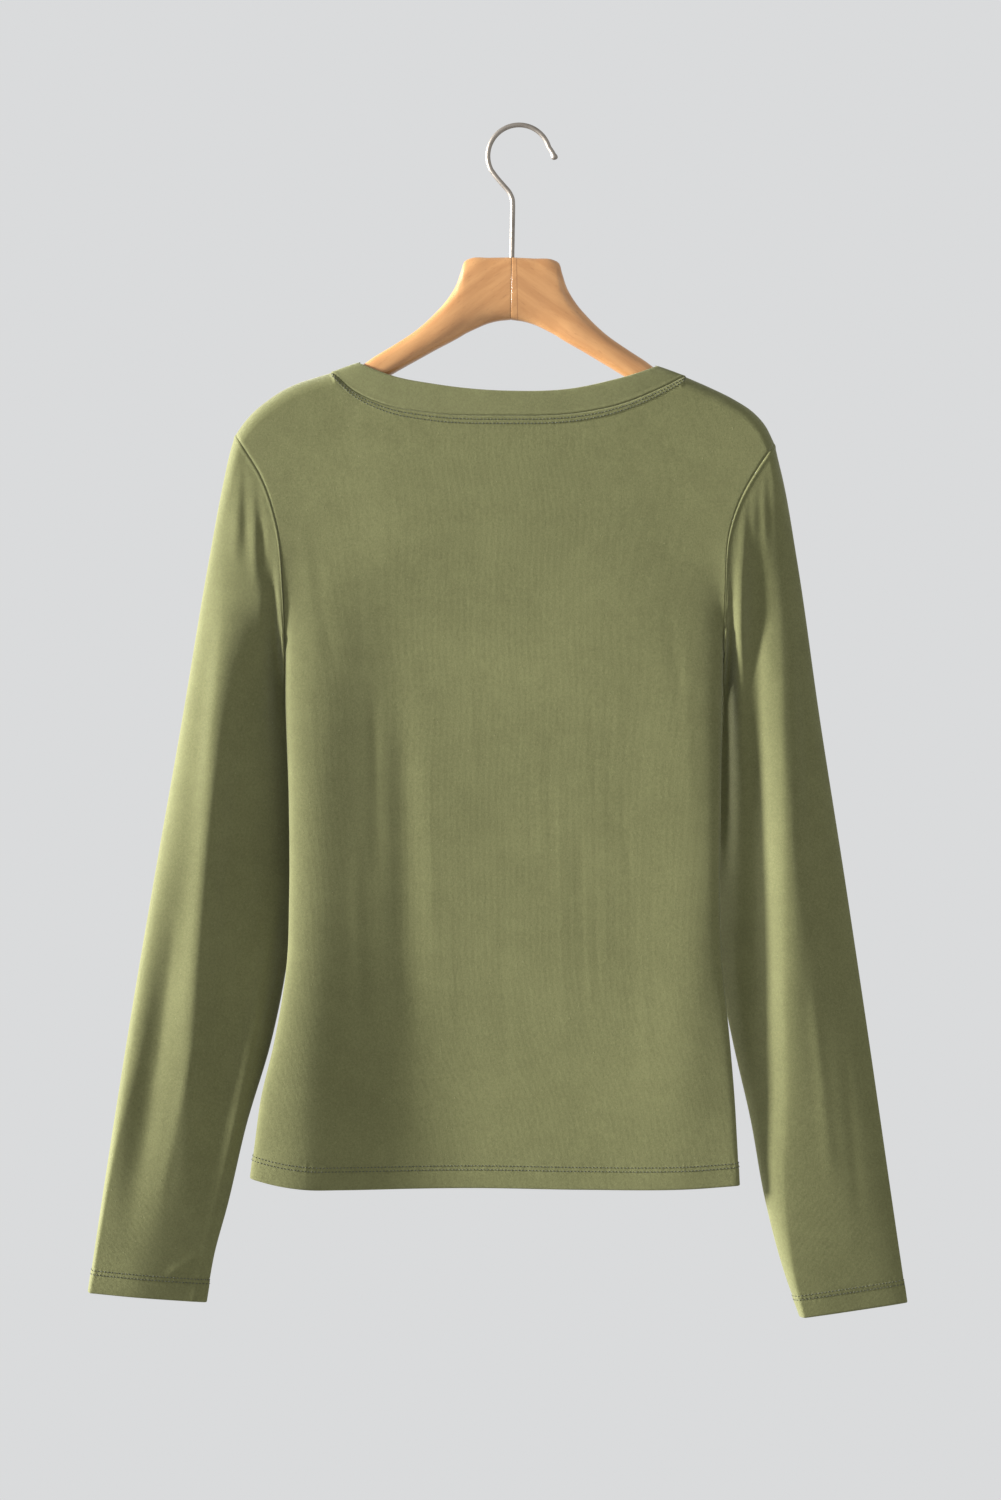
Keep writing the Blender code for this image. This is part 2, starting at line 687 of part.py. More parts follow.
def hook_route():
    """The wire's centre line in the hanger's frame with its thickness: tip, round, neck, stem."""
    middle = -(HOOK_RADIUS - WIRE_DIAMETER / 2)
    angles = np.arange(HOOK_TIP_ANGLE, HOOK_LOW_ANGLE + TINY, HOOK_STEP)
    tip = [(25.9, middle - 1.9, 0.35), (25.75, middle - 1.2, 1.1), (25.3, middle + 0.1, 1.35),
           (24.6, middle + 1.6, 1.1), (23.9, middle + 3.2, 1.0)]
    start = HOOK_TIP_ANGLE + 2 * HOOK_STEP
    bend = [
        (HOOK_RADIUS * math.cos(a), middle + HOOK_RADIUS * math.sin(a), 1.0)
        for a in angles if a >= start
    ]
    neck_path = Path([Point(*bend[-1][:2])] + HOOK_NECK)
    neck = [(*neck_path.at(k / 10), 1.0) for k in range(1, 11)]
    end = ARM[0].top_z - BORE_DEPTH + BORE_GAP
    stem = [(HANGER_CENTRE, HOOK_NECK[-1].z + k * (end - HOOK_NECK[-1].z) / 4, 1.0)
            for k in range(1, 5)]
    return tip + bend + neck + stem


def hanger_hook(material):
    """The bent wire hook, with a small rounded end, whose stem stands in the block's bore."""
    curve = bpy.data.curves.new("hanger_hook", "CURVE")
    curve.dimensions = "3D"
    curve.bevel_depth = WIRE_DIAMETER / 2 * MM
    curve.bevel_resolution = 3
    curve.use_fill_caps = True
    route = hook_route()
    spline = curve.splines.new("POLY")
    spline.points.add(len(route) - 1)
    for point, (x, z, thickness) in zip(spline.points, route):
        point.co = (*(tilted(x, 0, z) * MM), 1)
        point.radius = thickness
    spline.use_smooth = True
    curve.materials.append(material)
    made = bpy.data.objects.new("hanger_hook", curve)
    bpy.context.scene.collection.objects.link(made)
    return made


def main():
    for old in list(bpy.data.objects):
        bpy.data.objects.remove(old, do_unlink=True)
    cloth = principled("sage_jersey", CLOTH_COLOUR, 0.85)
    band = principled("sage_band", BAND_COLOUR, 0.85)
    wood = principled("honey_wood", WOOD_COLOUR, 0.45)
    metal = principled("nickel_wire", METAL_COLOUR, 0.28, 1.0)
    panel("back_panel", BACK, cloth)
    panel("front_panel", FRONT, cloth)
    sleeve("sleeve_left", LEFT, cloth)
    sleeve("sleeve_right", RIGHT, cloth)
    neckband(band)
    hanger_wood(wood)
    hanger_hook(metal)


main()
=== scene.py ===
"""Looks of a long-sleeve jersey top hung on a wooden hanger, with its back towards the viewer.

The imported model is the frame: +X to the viewer's right, -Y towards the viewer, +Z up, with the
origin at the inside top of the hook. Outlines are millimetres here, as in the part's source, and
become metres when a mesh is made. Each cloth piece is a thin shell on the form of the solid that it
replaces, with finer creases, turned hems, seams and stitches.
"""

import logging
import math
from dataclasses import dataclass, field
from enum import Enum, IntEnum
from typing import NamedTuple, Sequence

import bmesh
import bpy
import numpy as np
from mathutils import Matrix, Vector


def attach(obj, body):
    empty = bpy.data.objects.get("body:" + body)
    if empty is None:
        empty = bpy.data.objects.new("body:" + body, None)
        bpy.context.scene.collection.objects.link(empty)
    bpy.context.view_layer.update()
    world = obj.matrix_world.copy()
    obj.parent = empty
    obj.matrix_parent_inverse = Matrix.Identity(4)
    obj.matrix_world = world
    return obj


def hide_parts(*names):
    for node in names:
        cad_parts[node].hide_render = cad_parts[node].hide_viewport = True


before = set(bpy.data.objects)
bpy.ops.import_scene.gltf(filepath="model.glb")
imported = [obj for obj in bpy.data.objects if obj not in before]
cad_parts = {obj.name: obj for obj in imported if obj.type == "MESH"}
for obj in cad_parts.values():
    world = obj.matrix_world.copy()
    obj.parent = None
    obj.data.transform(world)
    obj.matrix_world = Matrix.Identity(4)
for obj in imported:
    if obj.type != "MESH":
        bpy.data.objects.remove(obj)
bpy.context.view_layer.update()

LOG = logging.getLogger("top_on_hanger")
MM = 0.001
TINY = 1e-4
BODY = "root"
Colour = tuple[float, float, float]


class Side(IntEnum):
    """Which side of the garment, as the viewer sees it. The value is the sign of X."""

    LEFT = -1
    RIGHT = 1


class Face(IntEnum):
    """Which face of the garment. The value is the sign of Y, and the viewer sees the back."""

    BACK = -1
    FRONT = 1


class Slot(Enum):
    """Material slots of the record."""

    JERSEY = "sage_jersey"
    BAND = "sage_band"
    WOOD = "honey_wood"
    WIRE = "nickel_wire"


class Point(NamedTuple):
    """A point of an outline in the viewer's plane, in millimetres."""

    x: float
    z: float


class Level(NamedTuple):
    """One level of the body's side seams, in millimetres."""

    z: float
    left: float
    right: float


class Depth(NamedTuple):
    """Outer half depth of the body at a height, in millimetres."""

    z: float
    depth: float


class SleeveDepth(NamedTuple):
    """Half depth of a sleeve at a share of its length and, for the left and the right sleeve, how
    far the inner fold lies back, how square the edges are and where across the crest is."""

    share: float
    depth: float
    lean_left: float
    lean_right: float
    square_left: float
    square_right: float
    crest_left: float
    crest_right: float


class Crease(NamedTuple):
    """A soft ridge (height over 0) or trough (height under 0) along a line on one face, in mm.

    The widths are those on its left, and its right side is skew times as wide.
    """

    x_top: float
    z_top: float
    x_low: float
    z_low: float
    width_top: float
    width_low: float
    height: float
    fade_top: float = 0.3
    fade_low: float = 0.3
    skew: float = 1.0


class ArmStation(NamedTuple):
    """One section of the hanger's arm: upper and lower edge from its centre, and half depth."""

    top_x: float
    top_z: float
    low_x: float
    low_z: float
    depth: float


class TipRing(NamedTuple):
    """One section of the hook's swollen tip: across, up from the bend's centre, share of radius."""

    x: float
    rise: float
    share: float


class Lamp(NamedTuple):
    """A soft round lamp turned to the object, in metres and watts."""

    name: str
    place: tuple[float, float, float]
    size: float
    power: float


# The cloth's form, as in the part's source
CAP_LEAN_START = 0.2
LEAN_START = -0.4
LEAN_FROM = 0.03
LEAN_FULL = 0.15
RIDGE_RADIUS = 10.5
NECK_ROLL = 6.0
ARMHOLE_FULLNESS = 0.9
UNDERARM_ROUND = 0.62
UNDERARM_CLEARANCE = 0.9
CAP_SETTLE = 0.12
FOLD_SETTLE = 0.05
COLUMN_BUNCHING = 1.8
SIDE_SEAM_SHARE = 0.66
NECK_U = 0.571
NEAR_RIDGE = (1, 0.9993, 0.9975, 0.9935, 0.988, 0.981, 0.972, 0.96, 0.945, 0.924)
HALF_SEAM = 0.02
CORNER_NUDGE = 0.004
NORMAL_STEP = 1e-5
ARMHOLE_ROLL = 3.0
SIDE_ROLL = {Face.BACK: 7.0, Face.FRONT: 3.0}
ROLL_FROM = 270.0
ROLL_FULL = 350.0

SIDE_LEVELS = [
    Level(-383.5, -168.8, 146.9),
    Level(-412.0, -168.8, 146.2),
    Level(-484.0, -166.4, 145.1),
    Level(-556.0, -166.0, 144.5),
    Level(-599.5, -167.4, 145.8),
    Level(-658.6, -176.6, 151.4),
    Level(-700.0, -186.2, 154.8),
    Level(-728.0, -190.0, 156.4),
]
BODY_DEPTHS = [
    Depth(-150.0, 10.6),
    Depth(-200.0, 10.6),
    Depth(-240.0, 11.0),
    Depth(-310.0, 13.4),
    Depth(-390.0, 16.0),
    Depth(-520.0, 17.5),
    Depth(-660.0, 18.0),
    Depth(-770.0, 17.2),
]
HEM = [Point(-193.3, -754.6), Point(-172.4, -759.4), Point(-150.8, -762.3), Point(-129.0, -763.0),
       Point(-21.0, -763.0), Point(43.6, -763.7), Point(130.0, -762.3), Point(158.0, -760.1)]
SHOULDER = {
    Side.LEFT: [Point(-135.5, -176.6), Point(-147.0, -180.1), Point(-160.6, -184.6),
                Point(-171.0, -189.6), Point(-181.2, -196.4), Point(-190.9, -204.3),
                Point(-198.2, -212.4), Point(-204.5, -221.3)],
    Side.RIGHT: [Point(119.5, -179.6), Point(137.4, -187.4), Point(155.4, -196.4),
                 Point(167.8, -204.6), Point(176.4, -213.8), Point(183.6, -227.7)],
}
ARMHOLE = {
    Side.LEFT: [SHOULDER[Side.LEFT][-1], Point(-197.4, -232.3), Point(-186.8, -249.6),
                Point(-174.9, -284.2), Point(-169.9, -333.0), Point(-168.8, -383.5)],
    Side.RIGHT: [SHOULDER[Side.RIGHT][-1], Point(168.8, -249.6), Point(159.5, -266.2),
                 Point(150.9, -290.7), Point(147.6, -333.0), Point(146.9, -383.5)],
}
NECK_SEAM = {
    Face.BACK: [SHOULDER[Side.LEFT][0], Point(-121.3, -189.1), Point(-97.6, -200.3),
                Point(-65.9, -206.4), Point(-11.2, -208.6), Point(44.3, -206.4),
                Point(71.6, -200.7), Point(99.0, -189.9), SHOULDER[Side.RIGHT][0]],
    Face.FRONT: [SHOULDER[Side.LEFT][0], Point(-128.0, -196.5), Point(-113.0, -222.0),
                 Point(-86.0, -247.0), Point(-8.0, -270.0), Point(70.0, -247.0),
                 Point(97.0, -222.0), Point(112.0, -198.5), SHOULDER[Side.RIGHT][0]],
}
BAND_EDGE = {
    Face.BACK: [Point(-115.9, -169.7), Point(-106.5, -173.9), Point(-91.0, -179.8),
                Point(-62.0, -185.6), Point(-9.0, -190.6), Point(40.0, -188.6),
                Point(63.0, -183.7), Point(84.5, -177.6), Point(99.0, -172.1)],
    Face.FRONT: [Point(-115.9, -169.7), Point(-109.5, -187.5), Point(-96.5, -209.5),
                 Point(-74.0, -231.5), Point(-8.0, -251.5), Point(58.0, -231.5),
                 Point(80.5, -209.5), Point(93.5, -189.5), Point(99.0, -172.1)],
}
SLEEVE_OUTER = {
    Side.LEFT: [SHOULDER[Side.LEFT][-1], Point(-207.9, -232.3), Point(-212.8, -254.0),
                Point(-223.6, -311.5), Point(-243.0, -426.8), Point(-263.2, -541.9),
                Point(-282.6, -657.1), Point(-300.6, -772.3), Point(-310.3, -837.2)],
    Side.RIGHT: [SHOULDER[Side.RIGHT][-1], Point(185.2, -235.0), Point(189.7, -254.0),
                 Point(199.8, -311.5), Point(216.4, -426.8), Point(234.4, -541.9),
                 Point(251.6, -657.1), Point(268.2, -772.3), Point(278.9, -845.3)],
}
SLEEVE_INNER = {
    Side.LEFT: [ARMHOLE[Side.LEFT][-1], Point(-168.6, -390.0), Point(-167.7, -397.0),
                Point(-166.3, -406.0), Point(-164.9, -420.0), Point(-163.8, -445.0),
                Point(-162.2, -485.0), Point(-162.0, -541.9), Point(-167.2, -599.5),
                Point(-178.5, -658.6), Point(-196.2, -719.1), Point(-209.5, -776.0),
                Point(-219.5, -813.4), Point(-225.0, -845.9)],
    Side.RIGHT: [ARMHOLE[Side.RIGHT][-1], Point(146.7, -390.0), Point(145.8, -397.0),
                 Point(144.5, -406.0), Point(143.0, -420.0), Point(141.8, -445.0),
                 Point(140.0, -485.0), Point(139.6, -541.9), Point(142.5, -599.5),
                 Point(153.3, -658.6), Point(165.8, -714.7), Point(176.0, -772.3),
                 Point(190.2, -826.0), Point(200.7, -855.4)],
}
SLEEVE_DEPTHS = [
    SleeveDepth(0.00, 11.0, 0.0, 0.0, 2.3, 2.3, 0.0, 0.0),
    SleeveDepth(0.02, 11.2, 8.0, 8.0, 2.3, 2.3, 0.0, 0.0),
    SleeveDepth(0.05, 11.5, 13.5, 13.5, 2.2, 2.2, -0.15, 0.0),
    SleeveDepth(0.15, 12.0, 17.0, 17.0, 1.9, 1.9, -0.4, 0.0),
    SleeveDepth(0.28, 12.4, 18.0, 18.0, 1.9, 1.8, -0.5, 0.0),
    SleeveDepth(0.45, 12.4, 17.0, 17.0, 2.0, 1.7, -0.5, 0.1),
    SleeveDepth(0.62, 11.6, 9.0, 9.0, 2.5, 1.5, -0.55, 0.25),
    SleeveDepth(0.82, 9.6, 5.0, 1.5, 2.0, 1.5, -0.86, 0.68),
    SleeveDepth(1.00, 7.2, 4.5, -1.0, 2.0, 1.6, -0.93, 0.92),
]

# Main folds, which the solids have too, and finer creases seen on the shown side
BODY_CREASES = {
    Face.BACK: [
        Crease(-86, -290, -76, -800, 54, 62, -8.6, 0.2, 0, 2.2),
        Crease(-84, -540, -44, -840, 54, 76, -7.4, 0.5, 0, 2.4),
        Crease(72, -330, 84, -800, 120, 130, -5.0, 0.4, 0, 0.5),
        Crease(154, -520, 152, -820, 16, 36, -4.6, 0.4, 0),
        Crease(-150, -350, -160, -800, 22, 26, 2.6, 0.3, 0),
        Crease(-84, -390, -77, -700, 9, 13, -1.3),
        Crease(28, -430, 33, -700, 3.2, 4.5, 0.14),
        Crease(41, -470, 48, -690, 2.6, 4.0, -0.15),
        Crease(57, -410, 63, -640, 3.0, 5.0, 0.13),
        Crease(72, -455, 80, -560, 2.6, 3.4, -0.13),
        Crease(88, -520, 90, -690, 3.5, 5.0, 0.12),
        Crease(-14, -540, -8, -700, 3.5, 5.0, -0.11),
        Crease(-66, -450, -60, -610, 3.4, 4.2, 0.14),
        Crease(-105, -390, -101, -560, 4.0, 6.0, -0.3),
        Crease(-118, -500, -112, -700, 4.0, 7.0, 0.22),
        Crease(104, -330, 118, -420, 5.0, 4.0, -0.25),
        Crease(118, -370, 124, -520, 3.5, 5.0, 0.2),
        Crease(-150, -300, -132, -400, 5.0, 6.0, -0.35),
        Crease(-158, -280, -146, -350, 4.0, 5.0, 0.3),
    ],
    Face.FRONT: [
        Crease(70, -380, 86, -790, 16, 40, -4.0, 0.3, 0),
        Crease(-60, -400, -84, -790, 20, 36, -2.6, 0.3, 0),
        Crease(8, -420, 4, -790, 26, 40, 1.8, 0.3, 0),
        Crease(-120, -300, -70, -420, 6, 9, -0.9),
        Crease(100, -300, 56, -430, 6, 9, -0.9),
        Crease(-92, -330, -46, -450, 4, 6, 0.5),
        Crease(30, -480, 36, -700, 3.4, 5, -0.4),
        Crease(-30, -450, -38, -640, 3.2, 5, 0.4),
        Crease(118, -500, 122, -700, 4, 6, 0.5),
        Crease(-130, -470, -140, -690, 4, 6, -0.5),
    ],
}
SLEEVE_CREASES = {
    (Side.LEFT, Face.BACK): [
        Crease(-207, -290, -245, -800, 8, 12, 4.4, 0.3, 0.35, 1.8),
        Crease(-199, -400, -226, -800, 8, 10, -3.0, 0.3, 0.35),
        Crease(-166, -520, -217, -790, 7, 8, 7.4, 0.3, 0.3),
        Crease(-242, -520, -284, -830, 10, 13, -3.4, 0.4, 0.4),
        Crease(-199.0, -228, -205, -330, 2.2, 6.0, 1.9, 0.02, 0.6),
        Crease(-196.4, -233, -197, -325, 1.6, 4.6, -2.0, 0.02, 0.6),
        Crease(-193.2, -239, -197, -300, 1.9, 3.6, 1.0, 0.02, 0.7),
        Crease(-190.6, -243, -189, -345, 1.6, 4.6, 1.9, 0.02, 0.6),
        Crease(-187.4, -248, -181, -340, 1.8, 4.4, -2.3, 0.02, 0.6),
        Crease(-184.6, -252, -185.5, -300, 1.6, 3.0, 0.9, 0.02, 0.7),
        Crease(-181.2, -259, -178, -322, 1.9, 3.4, 0.9, 0.02, 0.7),
        Crease(-202.0, -226, -208, -290, 1.6, 3.0, 0.7, 0.02, 0.7),
        Crease(-177, -290, -175, -470, 4.5, 6.0, -5.0),
        Crease(-171.5, -596, -206.3, -736, 0.9, 0.8, -0.75, 0.1, 0),
        Crease(-206.3, -736, -219.5, -784.6, 0.8, 0.8, -0.75, 0, 0),
        Crease(-219.5, -784.6, -233.0, -847, 0.8, 0.8, -0.75, 0, 0),
        Crease(-174.6, -596, -209.4, -736, 2.2, 2.2, 0.5, 0.1, 0),
        Crease(-209.4, -736, -236.0, -847, 2.2, 2.2, 0.5, 0, 0),
        Crease(-256, -827, -229, -811, 2.6, 2.0, 0.7),
        Crease(-230, -640, -262, -790, 3.5, 4.5, 0.45),
        Crease(-246, -560, -262, -700, 3.0, 4.0, -0.4),
    ],
    (Side.LEFT, Face.FRONT): [
        Crease(-202, -300, -250, -840, 9, 12, -2.8, 0.3, 0.5),
        Crease(-214, -330, -262, -760, 7, 9, 1.8, 0.3, 0.4),
        Crease(-197.6, -231, -203, -300, 2.0, 4.0, 1.1, 0.02, 0.7),
        Crease(-194.4, -236, -198, -300, 1.6, 3.2, -1.0, 0.02, 0.7),
        Crease(-191.0, -242, -194, -306, 1.9, 3.6, 1.0, 0.02, 0.7),
        Crease(-187.0, -248, -189, -310, 1.6, 3.4, -1.0, 0.02, 0.7),
        Crease(-183.4, -255, -185, -310, 1.9, 3.4, 0.9, 0.02, 0.7),
    ],
    (Side.RIGHT, Face.BACK): [
        Crease(159, -238, 158, -470, 4, 5, 2.3, 0.1),
        Crease(151.5, -290, 150, -560, 3.5, 4.5, -5.0),
        Crease(170, -262, 168, -740, 7, 11, -4.2, 0.2),
        Crease(188.5, -275, 194, -800, 7, 8, 2.8, 0.3, 0.4, 2.0),
        Crease(180.4, -232, 184.0, -300, 1.8, 3.6, 0.8, 0.02, 0.7),
        Crease(177.4, -236, 180.5, -318, 1.6, 3.4, -1.05, 0.02, 0.7),
        Crease(174.4, -241, 177.0, -322, 1.9, 3.8, 1.2, 0.02, 0.7),
        Crease(171.0, -246, 172.6, -318, 1.6, 3.4, -1.15, 0.02, 0.7),
        Crease(167.6, -252, 168.4, -306, 1.9, 3.4, 1.05, 0.02, 0.7),
        Crease(164.2, -257, 164.6, -312, 1.5, 3.2, -1.0, 0.02, 0.7),
        Crease(160.8, -263, 160.6, -330, 1.9, 3.8, 1.1, 0.02, 0.7),
        Crease(157.0, -270, 156.4, -320, 1.5, 3.0, -0.8, 0.02, 0.7),
        Crease(194, -320, 201, -520, 4.0, 5.0, 0.7),
        Crease(199, -360, 212, -560, 3.5, 5.0, -0.5),
        Crease(208, -600, 226, -780, 4.0, 5.0, 0.5),
        Crease(232, -640, 246, -800, 3.5, 4.5, -0.4),
        Crease(150, -560, 178, -790, 4.0, 5.0, 0.8),
    ],
    (Side.RIGHT, Face.FRONT): [
        Crease(181, -300, 219, -840, 9, 12, -2.8, 0.3, 0.5),
        Crease(194, -330, 236, -760, 7, 9, 1.8, 0.3, 0.4),
        Crease(178.0, -236, 181.0, -305, 2.0, 4.0, 1.1, 0.02, 0.7),
        Crease(174.4, -241, 176.4, -305, 1.6, 3.2, -1.0, 0.02, 0.7),
        Crease(170.6, -247, 172.0, -310, 1.9, 3.6, 1.0, 0.02, 0.7),
        Crease(166.6, -253, 167.4, -312, 1.6, 3.4, -1.0, 0.02, 0.7),
        Crease(162.4, -260, 162.8, -314, 1.9, 3.4, 0.9, 0.02, 0.7),
    ],
}

# The hanger, in its own upright frame, tilted about the hook's seat
TILT = math.radians(1.0)
HANGER_CENTRE = -3.85
ARM = [
    ArmStation(0.0, -93.8, 0.0, -138.6, 8.0),
    ArmStation(16.0, -94.3, 12.0, -140.4, 8.0),
    ArmStation(30.0, -95.1, 24.0, -145.0, 8.0),
    ArmStation(33.6, -96.9, 30.7, -148.3, 8.0),
    ArmStation(36.2, -104.0, 36.5, -151.8, 7.9),
    ArmStation(40.0, -115.0, 43.5, -155.8, 7.8),
    ArmStation(46.5, -125.7, 52.0, -160.4, 7.7),
    ArmStation(55.5, -136.0, 61.0, -165.6, 7.5),
    ArmStation(68.0, -147.5, 72.5, -172.2, 7.4),
    ArmStation(84.5, -158.8, 86.0, -180.2, 7.2),
    ArmStation(98.0, -167.3, 97.0, -187.0, 7.0),
    ArmStation(105.0, -172.3, 104.0, -191.2, 7.0),
    ArmStation(116.0, -178.0, 115.0, -197.2, 7.0),
    ArmStation(128.0, -181.8, 127.0, -203.2, 6.9),
    ArmStation(141.0, -186.5, 140.0, -208.2, 6.8),
    ArmStation(153.5, -192.3, 152.0, -212.0, 6.7),
    ArmStation(163.0, -198.2, 162.0, -214.4, 6.5),
    ArmStation(171.0, -205.2, 170.0, -215.4, 5.6),
    ArmStation(175.5, -209.6, 174.5, -213.6, 3.4),
]
HOOK_TIP = [
    TipRing(25.98, -2.2, 0.05),
    TipRing(25.95, -2.1, 0.5),
    TipRing(25.9, -1.8, 0.95),
    TipRing(25.75, -1.2, 1.25),
    TipRing(25.6, -0.5, 1.36),
    TipRing(25.3, 0.1, 1.36),
    TipRing(24.95, 0.9, 1.24),
    TipRing(24.6, 1.6, 1.1),
    TipRing(23.9, 3.2, 1.0),
]
HOOK_NECK = [Point(-15.6, -36.6), Point(-10.4, -42.4), Point(-6.6, -46.8), Point(-4.4, -51.4),
             Point(-3.85, -57.0)]


def through(knots: Sequence[float], values: Sequence, x: np.ndarray) -> np.ndarray:
    """Read a smooth curve that has these values at its knots.

    Args:
        knots: Places of the known values, in rising order.
        values: A number or a point for each knot.
        x: Places to read.

    Returns:
        The curve's values at x.
    """
    knots = np.asarray(knots, float)
    values = np.asarray(values, float)
    x = np.asarray(x, float)
    slopes = np.gradient(values, knots, axis=0)
    i = np.clip(np.searchsorted(knots, x, side="right") - 1, 0, len(knots) - 2)
    width = knots[i + 1] - knots[i]
    t = (x - knots[i]) / width
    if values.ndim > 1:
        width, t = width[..., None], t[..., None]
    return (
        (2 * t**3 - 3 * t**2 + 1) * values[i]
        + (t**3 - 2 * t**2 + t) * width * slopes[i]
        + (3 * t**2 - 2 * t**3) * values[i + 1]
        + (t**3 - t**2) * width * slopes[i + 1]
    )


def smoothstep(low: float, high: "float | np.ndarray", x: np.ndarray) -> np.ndarray:
    """Rise smoothly from 0 at low to 1 at high."""
    t = np.clip((np.asarray(x, float) - low) / (high - low), 0.0, 1.0)
    return t * t * (3 - 2 * t)


def unit(vectors: np.ndarray) -> np.ndarray:
    """Scale each vector to length 1."""
    return vectors / np.linalg.norm(vectors, axis=-1, keepdims=True)


def bell(distance: np.ndarray, width: "float | np.ndarray") -> np.ndarray:
    """Height of a soft ridge: 1 on its line, fading over its width on both sides."""
    return np.exp(-((distance / width) ** 2))


def run_lengths(points: np.ndarray) -> np.ndarray:
    """Length along a line from its first point, at every point."""
    steps = np.linalg.norm(np.diff(points, axis=0), axis=1)
    return np.concatenate([[0.0], np.cumsum(steps)])


def read_along(run: np.ndarray, points: np.ndarray, at: "float | np.ndarray") -> np.ndarray:
    """Read a line's points, or its directions, at these lengths from its start."""
    return np.stack([np.interp(at, run, points[:, k]) for k in range(3)], axis=-1)


class Path:
    """A smooth line through a few points, read by the share of its length."""

    def __init__(self, points: Sequence[Sequence[float]]) -> None:
        """Keep the points and the share of the length at each."""
        self.points = np.array([tuple(p) for p in points], float)
        run = run_lengths(self.points)
        self.shares = run / run[-1]

    def at(self, share: np.ndarray) -> np.ndarray:
        """Points at these shares of the length."""
        return through(self.shares, self.points, share)


def crease_height(creases: Sequence[Crease], x: np.ndarray, z: np.ndarray) -> np.ndarray:
    """Add up the creases of one face.

    Args:
        creases: The face's creases.
        x: Places across, in millimetres.
        z: Heights, in millimetres.

    Returns:
        How far the cloth stands out at each place, in millimetres.
    """
    total = np.zeros_like(x)
    for crease in creases:
        run = np.array([crease.x_low - crease.x_top, crease.z_low - crease.z_top])
        length = np.linalg.norm(run)
        run = run / length
        from_top = (x - crease.x_top) * run[0] + (z - crease.z_top) * run[1]
        along = from_top / length
        aside = (z - crease.z_top) * run[0] - (x - crease.x_top) * run[1]
        width = crease.width_top + np.clip(along, 0, 1) * (crease.width_low - crease.width_top)
        width = width * np.where(aside > 0, crease.skew, 1.0)
        fade = smoothstep(0, max(crease.fade_top, TINY), along)
        fade = fade * (1 - smoothstep(1 - max(crease.fade_low, TINY), 1, along))
        total += crease.height * fade * bell(aside, width)
    return total


def wrinkles(seed: int, count: int, low: Point, high: Point, tilt: float) -> list[Crease]:
    """Scatter faint wrinkles over a face, all running nearly the same way.

    Args:
        seed: Seed of the places.
        count: How many wrinkles.
        low: Lower left corner of their area.
        high: Upper right corner of their area.
        tilt: How far each moves sideways for each millimetre down.

    Returns:
        The wrinkles, as narrow creases.
    """
    dice = np.random.RandomState(seed)
    made = []
    for _ in range(count):
        x, z = dice.uniform(low.x, high.x), dice.uniform(low.z, high.z)
        length = dice.uniform(45, 130)
        width = dice.uniform(1.8, 4.2)
        height = dice.uniform(0.03, 0.10) * dice.choice([-1, 1])
        lean = tilt + dice.uniform(-0.05, 0.05)
        made.append(Crease(x, z, x + lean * length, z - length, width, 1.3 * width, height))
    return made


def mesh_object(
    name: str, points: np.ndarray, faces: list[list[int]], material: bpy.types.Material
) -> bpy.types.Object:
    """Make a smooth closed object.

    Args:
        name: The object's name.
        points: Corners in millimetres.
        faces: Corner numbers of each face.
        material: Its finish.

    Returns:
        The linked object.
    """
    data = bpy.data.meshes.new(name)
    data.from_pydata((points * MM).tolist(), [], faces)
    work = bmesh.new()
    work.from_mesh(data)
    bmesh.ops.recalc_face_normals(work, faces=work.faces)
    work.to_mesh(data)
    work.free()
    data.materials.append(material)
    data.shade_smooth()
    made = bpy.data.objects.new(name, data)
    bpy.context.scene.collection.objects.link(made)
    return made


def grid_faces(index: np.ndarray, ring: bool) -> list[list[int]]:
    """Faces between the corners of a grid, whose columns may run round to the first."""
    if ring:
        index = np.concatenate([index, index[:, :1]], axis=1)
    corners = [index[:-1, :-1], index[:-1, 1:], index[1:, 1:], index[1:, :-1]]
    return np.stack(corners, axis=-1).reshape(-1, 4).tolist()


def tube_faces(index: np.ndarray) -> list[list[int]]:
    """Faces of a closed tube: between its rings, and over both ends."""
    return grid_faces(index, True) + [index[0].tolist(), index[-1].tolist()]


def column_lengths(grid: np.ndarray) -> np.ndarray:
    """Length along each column of a grid from its first row, at every point."""
    steps = np.linalg.norm(np.diff(grid, axis=0), axis=2)
    return np.concatenate([np.zeros((1, grid.shape[1])), np.cumsum(steps, axis=0)])


